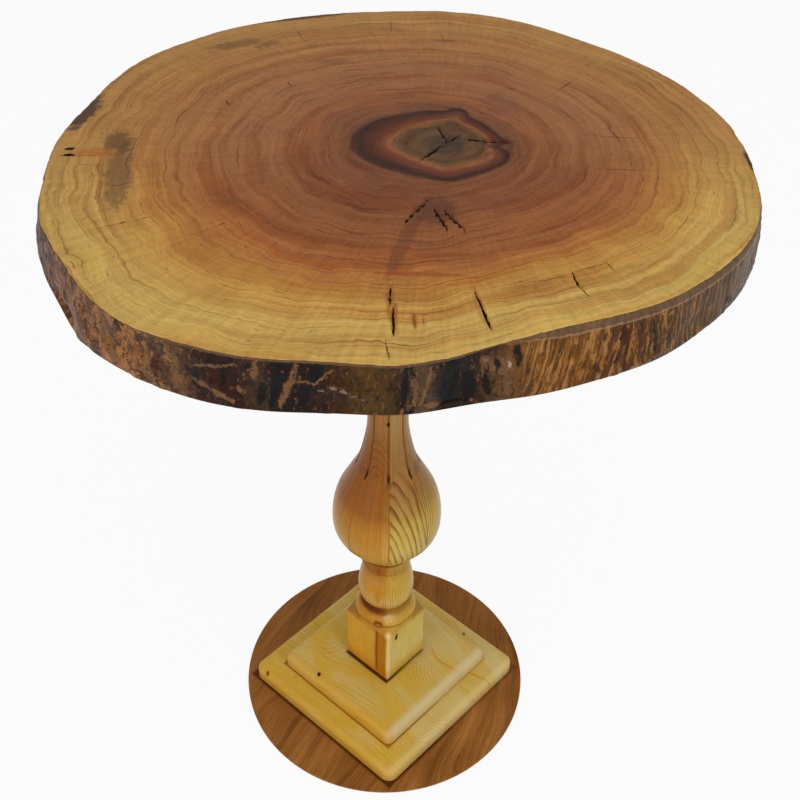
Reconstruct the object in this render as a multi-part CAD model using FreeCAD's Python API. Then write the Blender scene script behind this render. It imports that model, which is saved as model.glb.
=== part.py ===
import FreeCAD, Part
import math
import os

# Pedestal table: a cross-cut slab of hickory with its natural edge, on a turned pine column
# that stands on two stacked square pine plates and a thin round base board.
# The origin is on the column's axis at the floor. +Z is up. One corner of the square plates
# points along -Y, which is the table's front.

# Overall
table_height = 757.0
turn_of_squares = 45.0
clearance = 0.1
overrun = 2.0

# Slab: a slice across the trunk, 620 mm wide
slab_radius = 310.0
slab_thickness = 50.0
slab_top_bevel = 2.5
slab_foot_bevel = 1.2
slab_waist_height = 22.0

# Radius of the slab's edge round the column's axis, one share every ten degrees from +X
# towards +Y: along the top face, and how far the side swells out at its lower half
slab_top_shares = (1.032, 1.031, 1.023, 1.013, 1.002, 0.998, 1.009, 1.014, 1.001,
                   0.982, 0.979, 0.979, 0.987, 0.986, 0.989, 0.977, 0.958, 0.962,
                   0.971, 0.980, 1.003, 1.006, 1.025, 1.042, 1.026, 1.004, 0.979,
                   0.977, 0.942, 0.926, 0.942, 0.983, 1.013, 1.039, 1.047, 1.037)
slab_swell_shares = (0.040, 0.030, 0.020, 0.016, 0.012, 0.010, 0.008, 0.010, 0.014,
                     0.012, 0.010, 0.010, 0.014, 0.018, 0.016, 0.014, 0.018, 0.024,
                     0.030, 0.030, 0.018, 0.018, 0.020, 0.000, 0.004, 0.000, -0.006,
                     -0.011, 0.004, 0.032, 0.033, 0.020, 0.007, 0.003, 0.009, 0.030)

# Cleat: the square board that joins the slab to the column
cleat_side = 190.0
cleat_thickness = 22.0
cleat_edge_chamfer = 4.0
cleat_screw_inset = 22.0

# Column: a square post, turned between its two blocks
post_side = 68.0
foot_block_height = 81.5
head_block_height = 61.0
block_arris_chamfer = 1.5
tenon_radius = 15.0
shoulder_radius = 35.0
shoulder_slope_height = 10.0
shoulder_rise = 18.0
groove_radius = 25.0
groove_width = 3.0

foot_bead_radius = 33.0
foot_bead_height = 62.0
foot_ring_radius = 28.8
foot_ring_height = 16.0
head_bead_radius = 31.0
head_bead_height = 36.0
head_ring_radius = 26.0
head_ring_height = 11.0

bulb_radius = 61.6
bulb_height = 204.0
neck_radius = 22.0
neck_waist_radius = 21.2

# Roll between a block's cut corners and the groove: how far it stands out, as shares of the
# way from the groove to the shoulder's radius, at shares of its height
shoulder_roll_shares = ((0.14, 0.26), (-0.24, 0.70))

# Widest place of a bead, as a share of its height from its block side
bead_crown_share = 0.32

# Outline of the bulb from the ring up to the neck, as shares of its height and of the way from
# the neck's radius out to the bulb's, with the slope there in the same shares
bulb_outline_shares = ((0.00, 0.12, 4.50), (0.17, 0.81, 3.50), (0.30, 1.00, 0.00),
                       (0.54, 0.72, -2.70), (0.67, 0.38, -2.70), (0.83, 0.12, -1.05),
                       (1.00, 0.00, -0.10))

# Carved V-grooves down the neck: they start on the bulb's shoulder and run out under the
# upper ring. Shares of the groove's length, and of its depth
flute_count = 8
outline_samples = 400
least_arc_turn = 0.02
flute_depth = 1.9
flute_half_angle = 40.0
flute_start_share = 0.68
flute_head_gap = 16.0
flute_depth_shares = ((0.00, -0.30), (0.03, 1.50), (0.14, 1.20), (0.32, 1.00), (0.94, 1.00),
                      (1.00, -0.30))

# Stacked plates
upper_plate_side = 180.0
upper_plate_thickness = 20.0
upper_plate_corner_radius = 10.0
lower_plate_side = 236.0
lower_plate_thickness = 20.0
lower_plate_corner_radius = 17.0
plate_edge_round = 6.0

# Base board
disc_radius = 175.0
disc_thickness = 5.0
disc_undercut = 2.5

# Wedge in the head tenon
wedge_thickness = 3.0
wedge_tip_thickness = 1.0
wedge_depth = 19.0

# Lag screw and washer up through the plates into the column's foot
lag_shank_radius = 4.0
lag_length = 85.0
lag_head_across_flats = 13.0
lag_head_height = 5.3
lag_washer_radius = 12.0
lag_washer_thickness = 2.0
lag_recess_radius = 14.0
lag_recess_gap = 0.7

# Fasteners have eight sides in place of small circles
fastener_sides = 8

# Wood screws: radius of the shank, radius and height of the head, length from the head's seat
disc_screw_shank_radius = 1.75
disc_screw_head_radius = 3.6
disc_screw_head_height = 2.4
disc_screw_length = 16.0
disc_screw_circle = 84.0
disc_screw_count = 4
plate_screw_shank_radius = 2.0
plate_screw_head_radius = 4.2
plate_screw_head_height = 3.0
plate_screw_length = 30.0
plate_screw_inset = 36.0
cleat_screw_shank_radius = 2.5
cleat_screw_head_radius = 5.0
cleat_screw_head_height = 3.2
cleat_screw_length = 50.0
cleat_washer_side = 16.0
cleat_washer_thickness = 1.5
screw_point_share = 0.18
screw_tip_share = 0.2
pan_top_share = 0.5
head_sink = 0.4

# Heights up the table, worked out from the sizes above
disc_top = disc_thickness
lower_plate_top = disc_top + lower_plate_thickness
foot = lower_plate_top + upper_plate_thickness
slab_bottom = table_height - slab_thickness
head = slab_bottom - cleat_thickness
half_diagonal = post_side / 2 * math.sqrt(2)
shoulder_height = shoulder_slope_height + shoulder_rise + groove_width
foot_bead_start = foot + foot_block_height + shoulder_height
foot_ring_start = foot_bead_start + foot_bead_height
bulb_start = foot_ring_start + foot_ring_height
bulb_end = bulb_start + bulb_height
head_bead_start = head - head_block_height - shoulder_height
head_ring_start = head_bead_start - head_bead_height
neck_end = head_ring_start - head_ring_height

UP = FreeCAD.Vector(0, 0, 1)
AXIS_POINT = FreeCAD.Vector(0, 0, 0)


def at(radius, height):
    """Return a point of a turned outline, in the plane through the axis."""
    return FreeCAD.Vector(radius, 0, height)


def line(start, end):
    return Part.LineSegment(start, end).toShape()


def arc(start, way, end):
    """Return the arc that leaves the start along a direction and reaches the end."""
    chord = end - start
    turn = math.atan2(way.x * chord.z - way.z * chord.x, way.x * chord.x + way.z * chord.z)
    outward = FreeCAD.Vector(chord.z, 0, -chord.x)
    middle = (start + end) / 2 + outward * (math.tan(turn / 2) / 2)
    if abs(turn) < least_arc_turn:
        return line(start, end)
    return Part.Arc(start, middle, end).toShape()


def two_arcs(start, start_way, end, end_way):
    """Return two arcs that meet smoothly, from one point and direction to another."""
    step = end - start
    ways = start_way + end_way
    spread = 2 * (1 - start_way.dot(end_way))
    along = step.dot(ways)
    reach = step.dot(step) / (along + math.sqrt(along * along + spread * step.dot(step)))
    meeting = (start + end + (start_way - end_way) * reach) / 2
    return [arc(start, start_way, meeting), arc(end, end_way * -1, meeting)]


def turned_with_squares(shape):
    """Turn a shape that is square to X and Y so that a corner points to the front."""
    return shape.rotate(AXIS_POINT, UP, turn_of_squares)


def rounded_board(side, thickness, corner_radius, edge_round, bottom):
    """Square board with rounded corners and a rounded edge along its top."""
    board = Part.makeBox(side, side, thickness, FreeCAD.Vector(-side / 2, -side / 2, bottom))
    upright = [edge for edge in board.Edges if is_upright(edge)]
    board = board.makeFillet(corner_radius, upright)
    rim = [edge for edge in board.Edges if is_level(edge, bottom + thickness)]
    return board.makeFillet(edge_round, rim)


def is_upright(edge):
    low, high = edge.Vertexes[0].Point, edge.Vertexes[-1].Point
    return abs(low.z - high.z) > clearance


def is_level(edge, height):
    return all(abs(vertex.Point.z - height) < clearance / 10 for vertex in edge.Vertexes)


def drill(radius, low, high, x=0, y=0):
    """Round cutter from one height to another."""
    return Part.makeCylinder(radius, high - low, FreeCAD.Vector(x, y, low), UP)


def circle_places(radius, count):
    """Places evenly round a circle, the first on +X."""
    turns = [2 * math.pi * index / count for index in range(count)]
    return [(radius * math.cos(turn), radius * math.sin(turn)) for turn in turns]


def slab_outline(height, grow):
    """Closed smooth outline of the slab at a height, with the swell of the side scaled by grow."""
    points = []
    count = len(slab_top_shares)
    for index, top_share in enumerate(slab_top_shares):
        turn = 2 * math.pi * index / count
        swell, inset = grow
        radius = slab_radius * (top_share + swell * slab_swell_shares[index]) - inset
        points.append(FreeCAD.Vector(radius * math.cos(turn), radius * math.sin(turn), height))
    curve = Part.BSplineCurve()
    curve.interpolate(Points=points, PeriodicFlag=True)
    return Part.Wire([curve.toShape()])


def make_slab():
    """Slice of a trunk: flat faces, a natural edge that swells low down, bevelled rims."""
    sections = [slab_outline(slab_bottom, (1.0, slab_foot_bevel)),
                slab_outline(slab_bottom + slab_foot_bevel, (1.0, 0)),
                slab_outline(slab_bottom + slab_waist_height, (0.8, 0)),
                slab_outline(table_height - slab_top_bevel, (0, 0)),
                slab_outline(table_height, (0, slab_top_bevel))]
    slab = Part.makeLoft(sections, True, True)
    return slab.cut(copies(cleat_screw(clearance), cleat_screw_places(), cleat_screw_seat()))


def cleat_screw_places():
    """Four screws at the corners of the cleat, which is turned with a corner to the front."""
    return circle_places((cleat_side / 2 - cleat_screw_inset) * math.sqrt(2), 4)


def cleat_screw_seat():
    """Height of the underside of the cleat's washers, where the screw heads press."""
    return head - cleat_washer_thickness


def make_cleat():
    """Square board with a round hole for the head tenon and holes for its screws."""
    corner = FreeCAD.Vector(-cleat_side / 2, -cleat_side / 2, head)
    cleat = Part.makeBox(cleat_side, cleat_side, cleat_thickness, corner)
    rim = [edge for edge in cleat.Edges if is_level(edge, head)]
    cleat = turned_with_squares(cleat.makeChamfer(cleat_edge_chamfer, rim))
    cleat = cleat.cut(drill(tenon_radius + clearance, head - overrun, slab_bottom + overrun))
    return cleat.cut(copies(cleat_screw(clearance), cleat_screw_places(), cleat_screw_seat()))


def fastener(outline):
    """Solid with flat sides through the radii and heights of an outline, from the bottom up."""
    rings = []
    for radius, height in outline:
        places = circle_places(radius, fastener_sides)
        rings.append([FreeCAD.Vector(x, y, height) for x, y in places])
    faces = [flat_face(rings[0]), flat_face(rings[-1])]
    for low, high in zip(rings, rings[1:]):
        for side in range(fastener_sides):
            faces.append(flat_face([low[side - 1], low[side], high[side], high[side - 1]]))
    return Part.makeSolid(Part.makeShell(faces))


def flat_face(corners):
    return Part.Face(Part.makePolygon(corners + [corners[0]]))


def shank_outline(radius, length, grow):
    """Outline of a pointed shank up from height zero, or of the hole for it with its sides grown."""
    point = length * (1 - screw_point_share)
    return [(radius + grow, 0), (radius + grow, point), (radius * screw_tip_share + grow, length + grow)]


def sunk_screw(head_radius, head_height, shank_radius, length, grow):
    """Countersunk screw with its head up from height zero, or the hole for it with its sides grown."""
    head_cone = [(head_radius + grow, 0), (shank_radius + grow, head_height)]
    return fastener(head_cone + shank_outline(shank_radius, length, grow)[1:])


def disc_screw(grow):
    return sunk_screw(disc_screw_head_radius, disc_screw_head_height, disc_screw_shank_radius,
                      disc_screw_length, grow)


def plate_screw(grow):
    return sunk_screw(plate_screw_head_radius, plate_screw_head_height, plate_screw_shank_radius,
                      plate_screw_length, grow)


def cleat_screw(grow):
    """Screw with a domed head below height zero, or the hole for it with its sides grown."""
    dome = [(cleat_screw_head_radius * pan_top_share, -cleat_screw_head_height),
            (cleat_screw_head_radius, 0)]
    return fastener(dome + shank_outline(cleat_screw_shank_radius, cleat_screw_length, grow))


def sunk_opening(head_radius):
    """Cutter that opens a board's underside below a sunk head."""
    return fastener([(head_radius + clearance, -head_sink - overrun), (head_radius + clearance, 0)])


def copies(shape, places, height):
    """Group of separate solids, one at each place."""
    group = []
    for x, y in places:
        solid = shape.copy()
        solid.translate(FreeCAD.Vector(x, y, height))
        group.append(solid)
    return Part.makeCompound(group)


def make_cleat_washer():
    """Square plate washer with its top at height zero."""
    corner = FreeCAD.Vector(-cleat_washer_side / 2, -cleat_washer_side / 2, -cleat_washer_thickness)
    plate = Part.makeBox(cleat_washer_side, cleat_washer_side, cleat_washer_thickness, corner)
    hole_radius = cleat_screw_shank_radius + clearance
    hole = fastener([(hole_radius, -cleat_washer_thickness - overrun), (hole_radius, overrun)])
    return turned_with_squares(plate.cut(hole))


def shoulder_edges(block_end, way):
    """Edges from outside the block's corner in over the cut corners and the roll to the groove."""
    reach = half_diagonal + overrun
    slope = shoulder_slope_height / (half_diagonal - shoulder_radius)
    outer = at(reach, block_end - way * overrun * slope)
    rim = at(shoulder_radius, block_end + way * shoulder_slope_height)
    groove_height = block_end + way * (shoulder_height - groove_width)
    groove = at(groove_radius, groove_height)
    points = [outer, rim]
    for radius_share, height_share in shoulder_roll_shares:
        points.append(at(shoulder_radius + radius_share * (shoulder_radius - groove_radius),
                         rim.z + way * height_share * shoulder_rise))
    points += [groove, at(groove_radius, block_end + way * shoulder_height)]
    return [line(start, end) for start, end in zip(points, points[1:])]


def make_block(end, height, way):
    """Square block with its corners cut by the turned shoulder, from the end of the post."""
    block_end = end + way * height
    edges = shoulder_edges(block_end, way)
    outer = edges[0].Vertexes[0].Point
    outline = [line(at(0, end), at(outer.x, end)), line(at(outer.x, end), outer)] + edges
    top = outline[-1].Vertexes[-1].Point
    outline += [line(top, at(0, top.z)), line(at(0, top.z), at(0, end))]
    turned = Part.Face(Part.Wire(Part.__sortEdges__(outline))).revolve(AXIS_POINT, UP, 360)
    length = height + shoulder_height
    low = min(end, end + way * length)
    corner = FreeCAD.Vector(-post_side / 2, -post_side / 2, low)
    bar = Part.makeBox(post_side, post_side, length, corner)
    rim = [edge for edge in bar.Edges if is_level(edge, end)]
    bar = bar.makeChamfer(block_arris_chamfer, rim)
    return turned_with_squares(bar).common(turned)


def neck_edges():
    """Neck that narrows a little between the bulb and the upper ring."""
    waist = at(neck_waist_radius, (bulb_end + neck_end) / 2)
    return [line(at(neck_radius, bulb_end), waist), line(waist, at(neck_radius, neck_end))]


def bulb_edges():
    """Smooth arcs through the points and slopes of the bulb's outline."""
    swell = bulb_radius - neck_radius
    nodes = []
    for height_share, radius_share, slope_share in bulb_outline_shares:
        point = at(neck_radius + radius_share * swell, bulb_start + bulb_height * height_share)
        nodes.append((point, at(slope_share * swell, bulb_height).normalize()))
    edges = []
    for (low, low_way), (high, high_way) in zip(nodes, nodes[1:]):
        edges += two_arcs(low, low_way, high, high_way)
    return edges


def bead_edges(start, height, radius, way):
    """Bead from the groove by the block to its ring: one arc on each side of its crown."""
    crown = at(radius, start + way * height * bead_crown_share)
    block_side = arc(crown, at(0, -way), at(groove_radius, start))
    ring_side = arc(crown, at(0, way), at(groove_radius, start + way * height))
    return [block_side, ring_side]


def make_turning():
    """Beads, rings, bulb and neck as one turned piece."""
    foot_bead = bead_edges(foot_bead_start, foot_bead_height, foot_bead_radius, 1)
    head_bead = bead_edges(head_bead_start, head_bead_height, head_bead_radius, -1)
    foot_ring = line(at(foot_ring_radius, foot_ring_start), at(foot_ring_radius, bulb_start))
    head_ring = line(at(head_ring_radius, neck_end), at(head_ring_radius, head_ring_start))
    runs = [[line(at(0, foot_bead_start), at(groove_radius, foot_bead_start))], foot_bead,
            [foot_ring], bulb_edges(), neck_edges(), [head_ring], head_bead[::-1],
            [line(at(groove_radius, head_bead_start), at(0, head_bead_start))]]
    outline = runs[0]
    for run in runs[1:]:
        outline = joined(outline, run)
    outline.append(line(at(0, head_bead_start), at(0, foot_bead_start)))
    wire = Part.Wire(Part.__sortEdges__(outline))
    return Part.Face(wire).revolve(AXIS_POINT, UP, 360)


def joined(edges, run):
    """Edges and the next run of them, with a level step between them where they don't meet."""
    ends = [vertex.Point for vertex in edges[-1].Vertexes]
    starts = [vertex.Point for vertex in run[0].Vertexes]
    gap, end, start = min((end.distanceToPoint(start), end_index, start_index)
                          for end_index, end in enumerate(ends)
                          for start_index, start in enumerate(starts))
    step = [line(ends[end], starts[start])] if gap > clearance / 100 else []
    return edges + step + run


def surface_radius(height, samples):
    """Radius of the turned surface at a height, between two of its sample points."""
    for low, high in zip(samples, samples[1:]):
        if low.z <= height <= high.z:
            share = (height - low.z) / (high.z - low.z)
            return low.x + share * (high.x - low.x)
    return samples[-1].x


def flute_cutter():
    """V-shaped cutter along the neck, whose root follows the turned surface."""
    outline = Part.Wire(bulb_edges() + neck_edges())
    samples = sorted(outline.discretize(outline_samples), key=lambda point: point.z)
    low = bulb_start + bulb_height * flute_start_share
    length = neck_end - flute_head_gap - low
    sections = []
    for length_share, depth_share in flute_depth_shares:
        height = low + length * length_share
        surface = surface_radius(height, samples)
        root = surface - flute_depth * depth_share
        outer = surface + overrun
        half_width = (outer - root) * math.tan(math.radians(flute_half_angle))
        corners = [FreeCAD.Vector(root, 0, height), FreeCAD.Vector(outer, half_width, height),
                   FreeCAD.Vector(outer, -half_width, height)]
        sections.append(Part.makePolygon(corners + [corners[0]]))
    return Part.makeLoft(sections, True, True)


def wedge_shape(grow):
    """Wedge driven down into the head tenon, or the slot for it with its sides grown."""
    half = wedge_thickness / 2 + grow
    tip = wedge_tip_thickness / 2 + grow
    low = slab_bottom - wedge_depth - grow
    reach = tenon_radius + overrun
    corners = [FreeCAD.Vector(-half, -reach, slab_bottom), FreeCAD.Vector(half, -reach, slab_bottom),
               FreeCAD.Vector(tip, -reach, low), FreeCAD.Vector(-tip, -reach, low)]
    face = Part.Face(Part.makePolygon(corners + [corners[0]]))
    return face.extrude(FreeCAD.Vector(0, 2 * reach, 0))


def lag_seat():
    """Height where the lag screw's head meets its washer."""
    return disc_top + lag_recess_gap + lag_head_height


def make_column():
    """Square post turned between its blocks, with tenons, carved grooves and its screw hole."""
    foot_tenon = drill(tenon_radius, lower_plate_top, foot)
    head_tenon = drill(tenon_radius, head, slab_bottom)
    pieces = [make_block(head, head_block_height, -1), make_turning(), foot_tenon, head_tenon]
    column = make_block(foot, foot_block_height, 1).fuse(pieces).removeSplitter()
    cutter = flute_cutter()
    cutters = []
    for index in range(flute_count):
        cutters.append(cutter.rotated(AXIS_POINT, UP, 360 * index / flute_count))
    column = column.cut(cutters)
    lag_hole = fastener(shank_outline(lag_shank_radius, lag_length, clearance))
    lag_hole.translate(FreeCAD.Vector(0, 0, lag_seat()))
    return column.cut([lag_hole, wedge_shape(clearance)])


def make_wedge():
    """Hardwood wedge, trimmed to the round tenon that it spreads."""
    return wedge_shape(0).common(drill(tenon_radius, head, slab_bottom))


def make_upper_plate():
    """Smaller plate, with a round hole for the foot tenon."""
    plate = rounded_board(upper_plate_side, upper_plate_thickness, upper_plate_corner_radius,
                          plate_edge_round, lower_plate_top)
    plate = turned_with_squares(plate)
    plate = plate.cut(drill(tenon_radius + clearance, lower_plate_top - overrun, foot + overrun))
    return plate.cut(copies(plate_screw(clearance), plate_screw_places(), disc_top + head_sink))


def make_lower_plate():
    """Larger plate, with a recess below for the lag screw's head and its washer."""
    plate = rounded_board(lower_plate_side, lower_plate_thickness, lower_plate_corner_radius,
                          plate_edge_round, disc_top)
    plate = turned_with_squares(plate)
    recess = drill(lag_recess_radius, disc_top - overrun, lag_seat() + lag_washer_thickness)
    lag_hole = fastener(shank_outline(lag_shank_radius, lag_length, clearance))
    lag_hole.translate(FreeCAD.Vector(0, 0, lag_seat()))
    cutters = [recess, lag_hole]
    for cutter in (plate_screw(clearance), sunk_opening(plate_screw_head_radius)):
        cutters.append(copies(cutter, plate_screw_places(), disc_top + head_sink))
    cutters.append(copies(disc_screw(clearance), disc_screw_places(), head_sink))
    return plate.cut(cutters)


def plate_screw_places():
    """Four screws between the plates, inside the corners of the upper one."""
    half_span = upper_plate_side / 2 - plate_screw_inset
    return circle_places(half_span * math.sqrt(2), 4)


def disc_screw_places():
    """Screws round the base board, under the middles of the lower plate's sides."""
    turn = math.pi / disc_screw_count
    return [(x * math.cos(turn) - y * math.sin(turn), x * math.sin(turn) + y * math.cos(turn))
            for x, y in circle_places(disc_screw_circle, disc_screw_count)]


def make_disc():
    """Thin round board, undercut below so that it casts a fine shadow line."""
    waist = disc_radius - disc_undercut
    edges = [line(at(0, 0), at(waist, 0)), line(at(waist, 0), at(disc_radius, disc_undercut)),
             line(at(disc_radius, disc_undercut), at(disc_radius, disc_top)),
             line(at(disc_radius, disc_top), at(0, disc_top)), line(at(0, disc_top), at(0, 0))]
    disc = Part.Face(Part.Wire(edges)).revolve(AXIS_POINT, UP, 360)
    for cutter in (disc_screw(clearance), sunk_opening(disc_screw_head_radius)):
        disc = disc.cut(copies(cutter, disc_screw_places(), head_sink))
    return disc


def make_lag_screw():
    """Hexagon head below, plain shank and point above."""
    across_corners = lag_head_across_flats / math.sqrt(3)
    corners = [FreeCAD.Vector(x, y, -lag_head_height) for x, y in circle_places(across_corners, 6)]
    head_prism = flat_face(corners).extrude(FreeCAD.Vector(0, 0, lag_head_height))
    screw = head_prism.fuse(fastener(shank_outline(lag_shank_radius, lag_length, 0)))
    screw.translate(FreeCAD.Vector(0, 0, lag_seat()))
    return screw


def make_lag_washer():
    """Flat washer between the lag screw's head and the recess."""
    seat = lag_seat()
    top = seat + lag_washer_thickness
    hole_radius = lag_shank_radius + clearance
    hole = fastener([(hole_radius, seat - overrun), (hole_radius, top + overrun)])
    return fastener([(lag_washer_radius, seat), (lag_washer_radius, top)]).cut(hole)


def make_parts():
    """Every node of the table, by name."""
    return {
        "tabletop_slab": make_slab(),
        "top_cleat": make_cleat(),
        "cleat_screws": copies(cleat_screw(0), cleat_screw_places(), cleat_screw_seat()),
        "cleat_washers": copies(make_cleat_washer(), cleat_screw_places(), head),
        "tenon_wedge": make_wedge(),
        "column": make_column(),
        "upper_plate": make_upper_plate(),
        "lower_plate": make_lower_plate(),
        "plate_screws": copies(plate_screw(0), plate_screw_places(), disc_top + head_sink),
        "lag_screw": make_lag_screw(),
        "lag_washer": make_lag_washer(),
        "base_disc": make_disc(),
        "disc_screws": copies(disc_screw(0), disc_screw_places(), head_sink),
    }


os.makedirs("parts", exist_ok=True)
for name, shape in make_parts().items():
    shape.exportStep("parts/" + name + ".step")
    print(name, "solids", len(shape.Solids), "valid", shape.isValid(), "volume", round(shape.Volume))
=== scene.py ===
import logging
import math
from dataclasses import dataclass, field
from enum import Enum
from typing import Sequence

import bpy
import numpy as np
from mathutils import Matrix, Vector


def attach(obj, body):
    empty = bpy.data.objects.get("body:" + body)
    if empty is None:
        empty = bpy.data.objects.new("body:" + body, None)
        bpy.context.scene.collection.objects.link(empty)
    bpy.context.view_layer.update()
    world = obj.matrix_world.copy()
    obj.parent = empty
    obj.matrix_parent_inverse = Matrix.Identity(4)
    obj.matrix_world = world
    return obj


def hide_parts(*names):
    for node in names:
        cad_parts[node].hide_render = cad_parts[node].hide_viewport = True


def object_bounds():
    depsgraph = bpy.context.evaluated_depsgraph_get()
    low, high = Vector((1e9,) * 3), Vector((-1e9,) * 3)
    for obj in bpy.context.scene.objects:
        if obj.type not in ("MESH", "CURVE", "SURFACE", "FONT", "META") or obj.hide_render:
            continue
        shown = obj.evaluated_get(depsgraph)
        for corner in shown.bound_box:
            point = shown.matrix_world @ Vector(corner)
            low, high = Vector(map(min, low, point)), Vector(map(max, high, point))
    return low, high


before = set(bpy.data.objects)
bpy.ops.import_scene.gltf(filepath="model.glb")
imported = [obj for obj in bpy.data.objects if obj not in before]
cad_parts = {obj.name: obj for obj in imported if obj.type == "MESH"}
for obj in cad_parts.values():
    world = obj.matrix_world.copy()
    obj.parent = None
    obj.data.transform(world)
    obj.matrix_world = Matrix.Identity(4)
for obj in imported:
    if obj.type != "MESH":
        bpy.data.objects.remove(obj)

LOW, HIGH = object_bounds()
MM = 0.001
GROWTH_END = 300.0  # growth value at the slab's rim
HALF_ROOT = 0.7071  # share of each axis in a direction across the boards' sides
log = logging.getLogger("pedestal_table")

Colour = tuple[float, float, float, float]
Number = "float | Wire"
Rows = Sequence[Sequence[float]]


def srgb(red: float, green: float, blue: float) -> Colour:
    """Turn a colour as seen on a screen into the linear one that a shader takes.

    Args:
        red: Red, from 0 to 255.
        green: Green, from 0 to 255.
        blue: Blue, from 0 to 255.

    Returns:
        The linear colour with full opacity.
    """
    parts = []
    for part in (red, green, blue):
        share = part / 255
        parts.append(share / 12.92 if share <= 0.04045 else ((share + 0.055) / 1.055) ** 2.4)
    return (parts[0], parts[1], parts[2], 1.0)


class Wire:
    """A value, colour or vector in a material, which Python's operators extend with nodes."""

    def __init__(self, recipe: "Recipe", socket: bpy.types.NodeSocket) -> None:
        """Hold an output socket and the recipe that it belongs to."""
        self.recipe = recipe
        self.socket = socket

    def __add__(self, other: Number) -> "Wire":
        """Return this value plus another."""
        return self.recipe.math("ADD", self, other)

    __radd__ = __add__

    def __sub__(self, other: Number) -> "Wire":
        """Return this value less another."""
        return self.recipe.math("SUBTRACT", self, other)

    def __rsub__(self, other: Number) -> "Wire":
        """Return a number less this value."""
        return self.recipe.math("SUBTRACT", other, self)

    def __mul__(self, other: Number) -> "Wire":
        """Return this value times another."""
        return self.recipe.math("MULTIPLY", self, other)

    __rmul__ = __mul__

    def __truediv__(self, other: Number) -> "Wire":
        """Return this value divided by another."""
        return self.recipe.math("DIVIDE", self, other)

    def __rtruediv__(self, other: Number) -> "Wire":
        """Return a number divided by this value."""
        return self.recipe.math("DIVIDE", other, self)

    def __abs__(self) -> "Wire":
        """Return this value without its sign."""
        return self.recipe.math("ABSOLUTE", self)

    def up_to(self, other: Number) -> "Wire":
        """Return the smaller of this value and another."""
        return self.recipe.math("MINIMUM", self, other)

    def at_least(self, other: Number) -> "Wire":
        """Return the larger of this value and another."""
        return self.recipe.math("MAXIMUM", self, other)

    def rise(self, start: Number, end: Number) -> "Wire":
        """Return a smooth step from 0 at the start to 1 at the end."""
        return self.recipe.node("MapRange", {"interpolation_type": "SMOOTHSTEP"},
                                {"Value": self, "From Min": start, "From Max": end})

    def window(self, start: Number, full: Number, less: Number, end: Number) -> "Wire":
        """Return 1 between full and less, easing to 0 at the start and at the end."""
        return self.rise(start, full) * self.rise(end, less)


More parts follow.
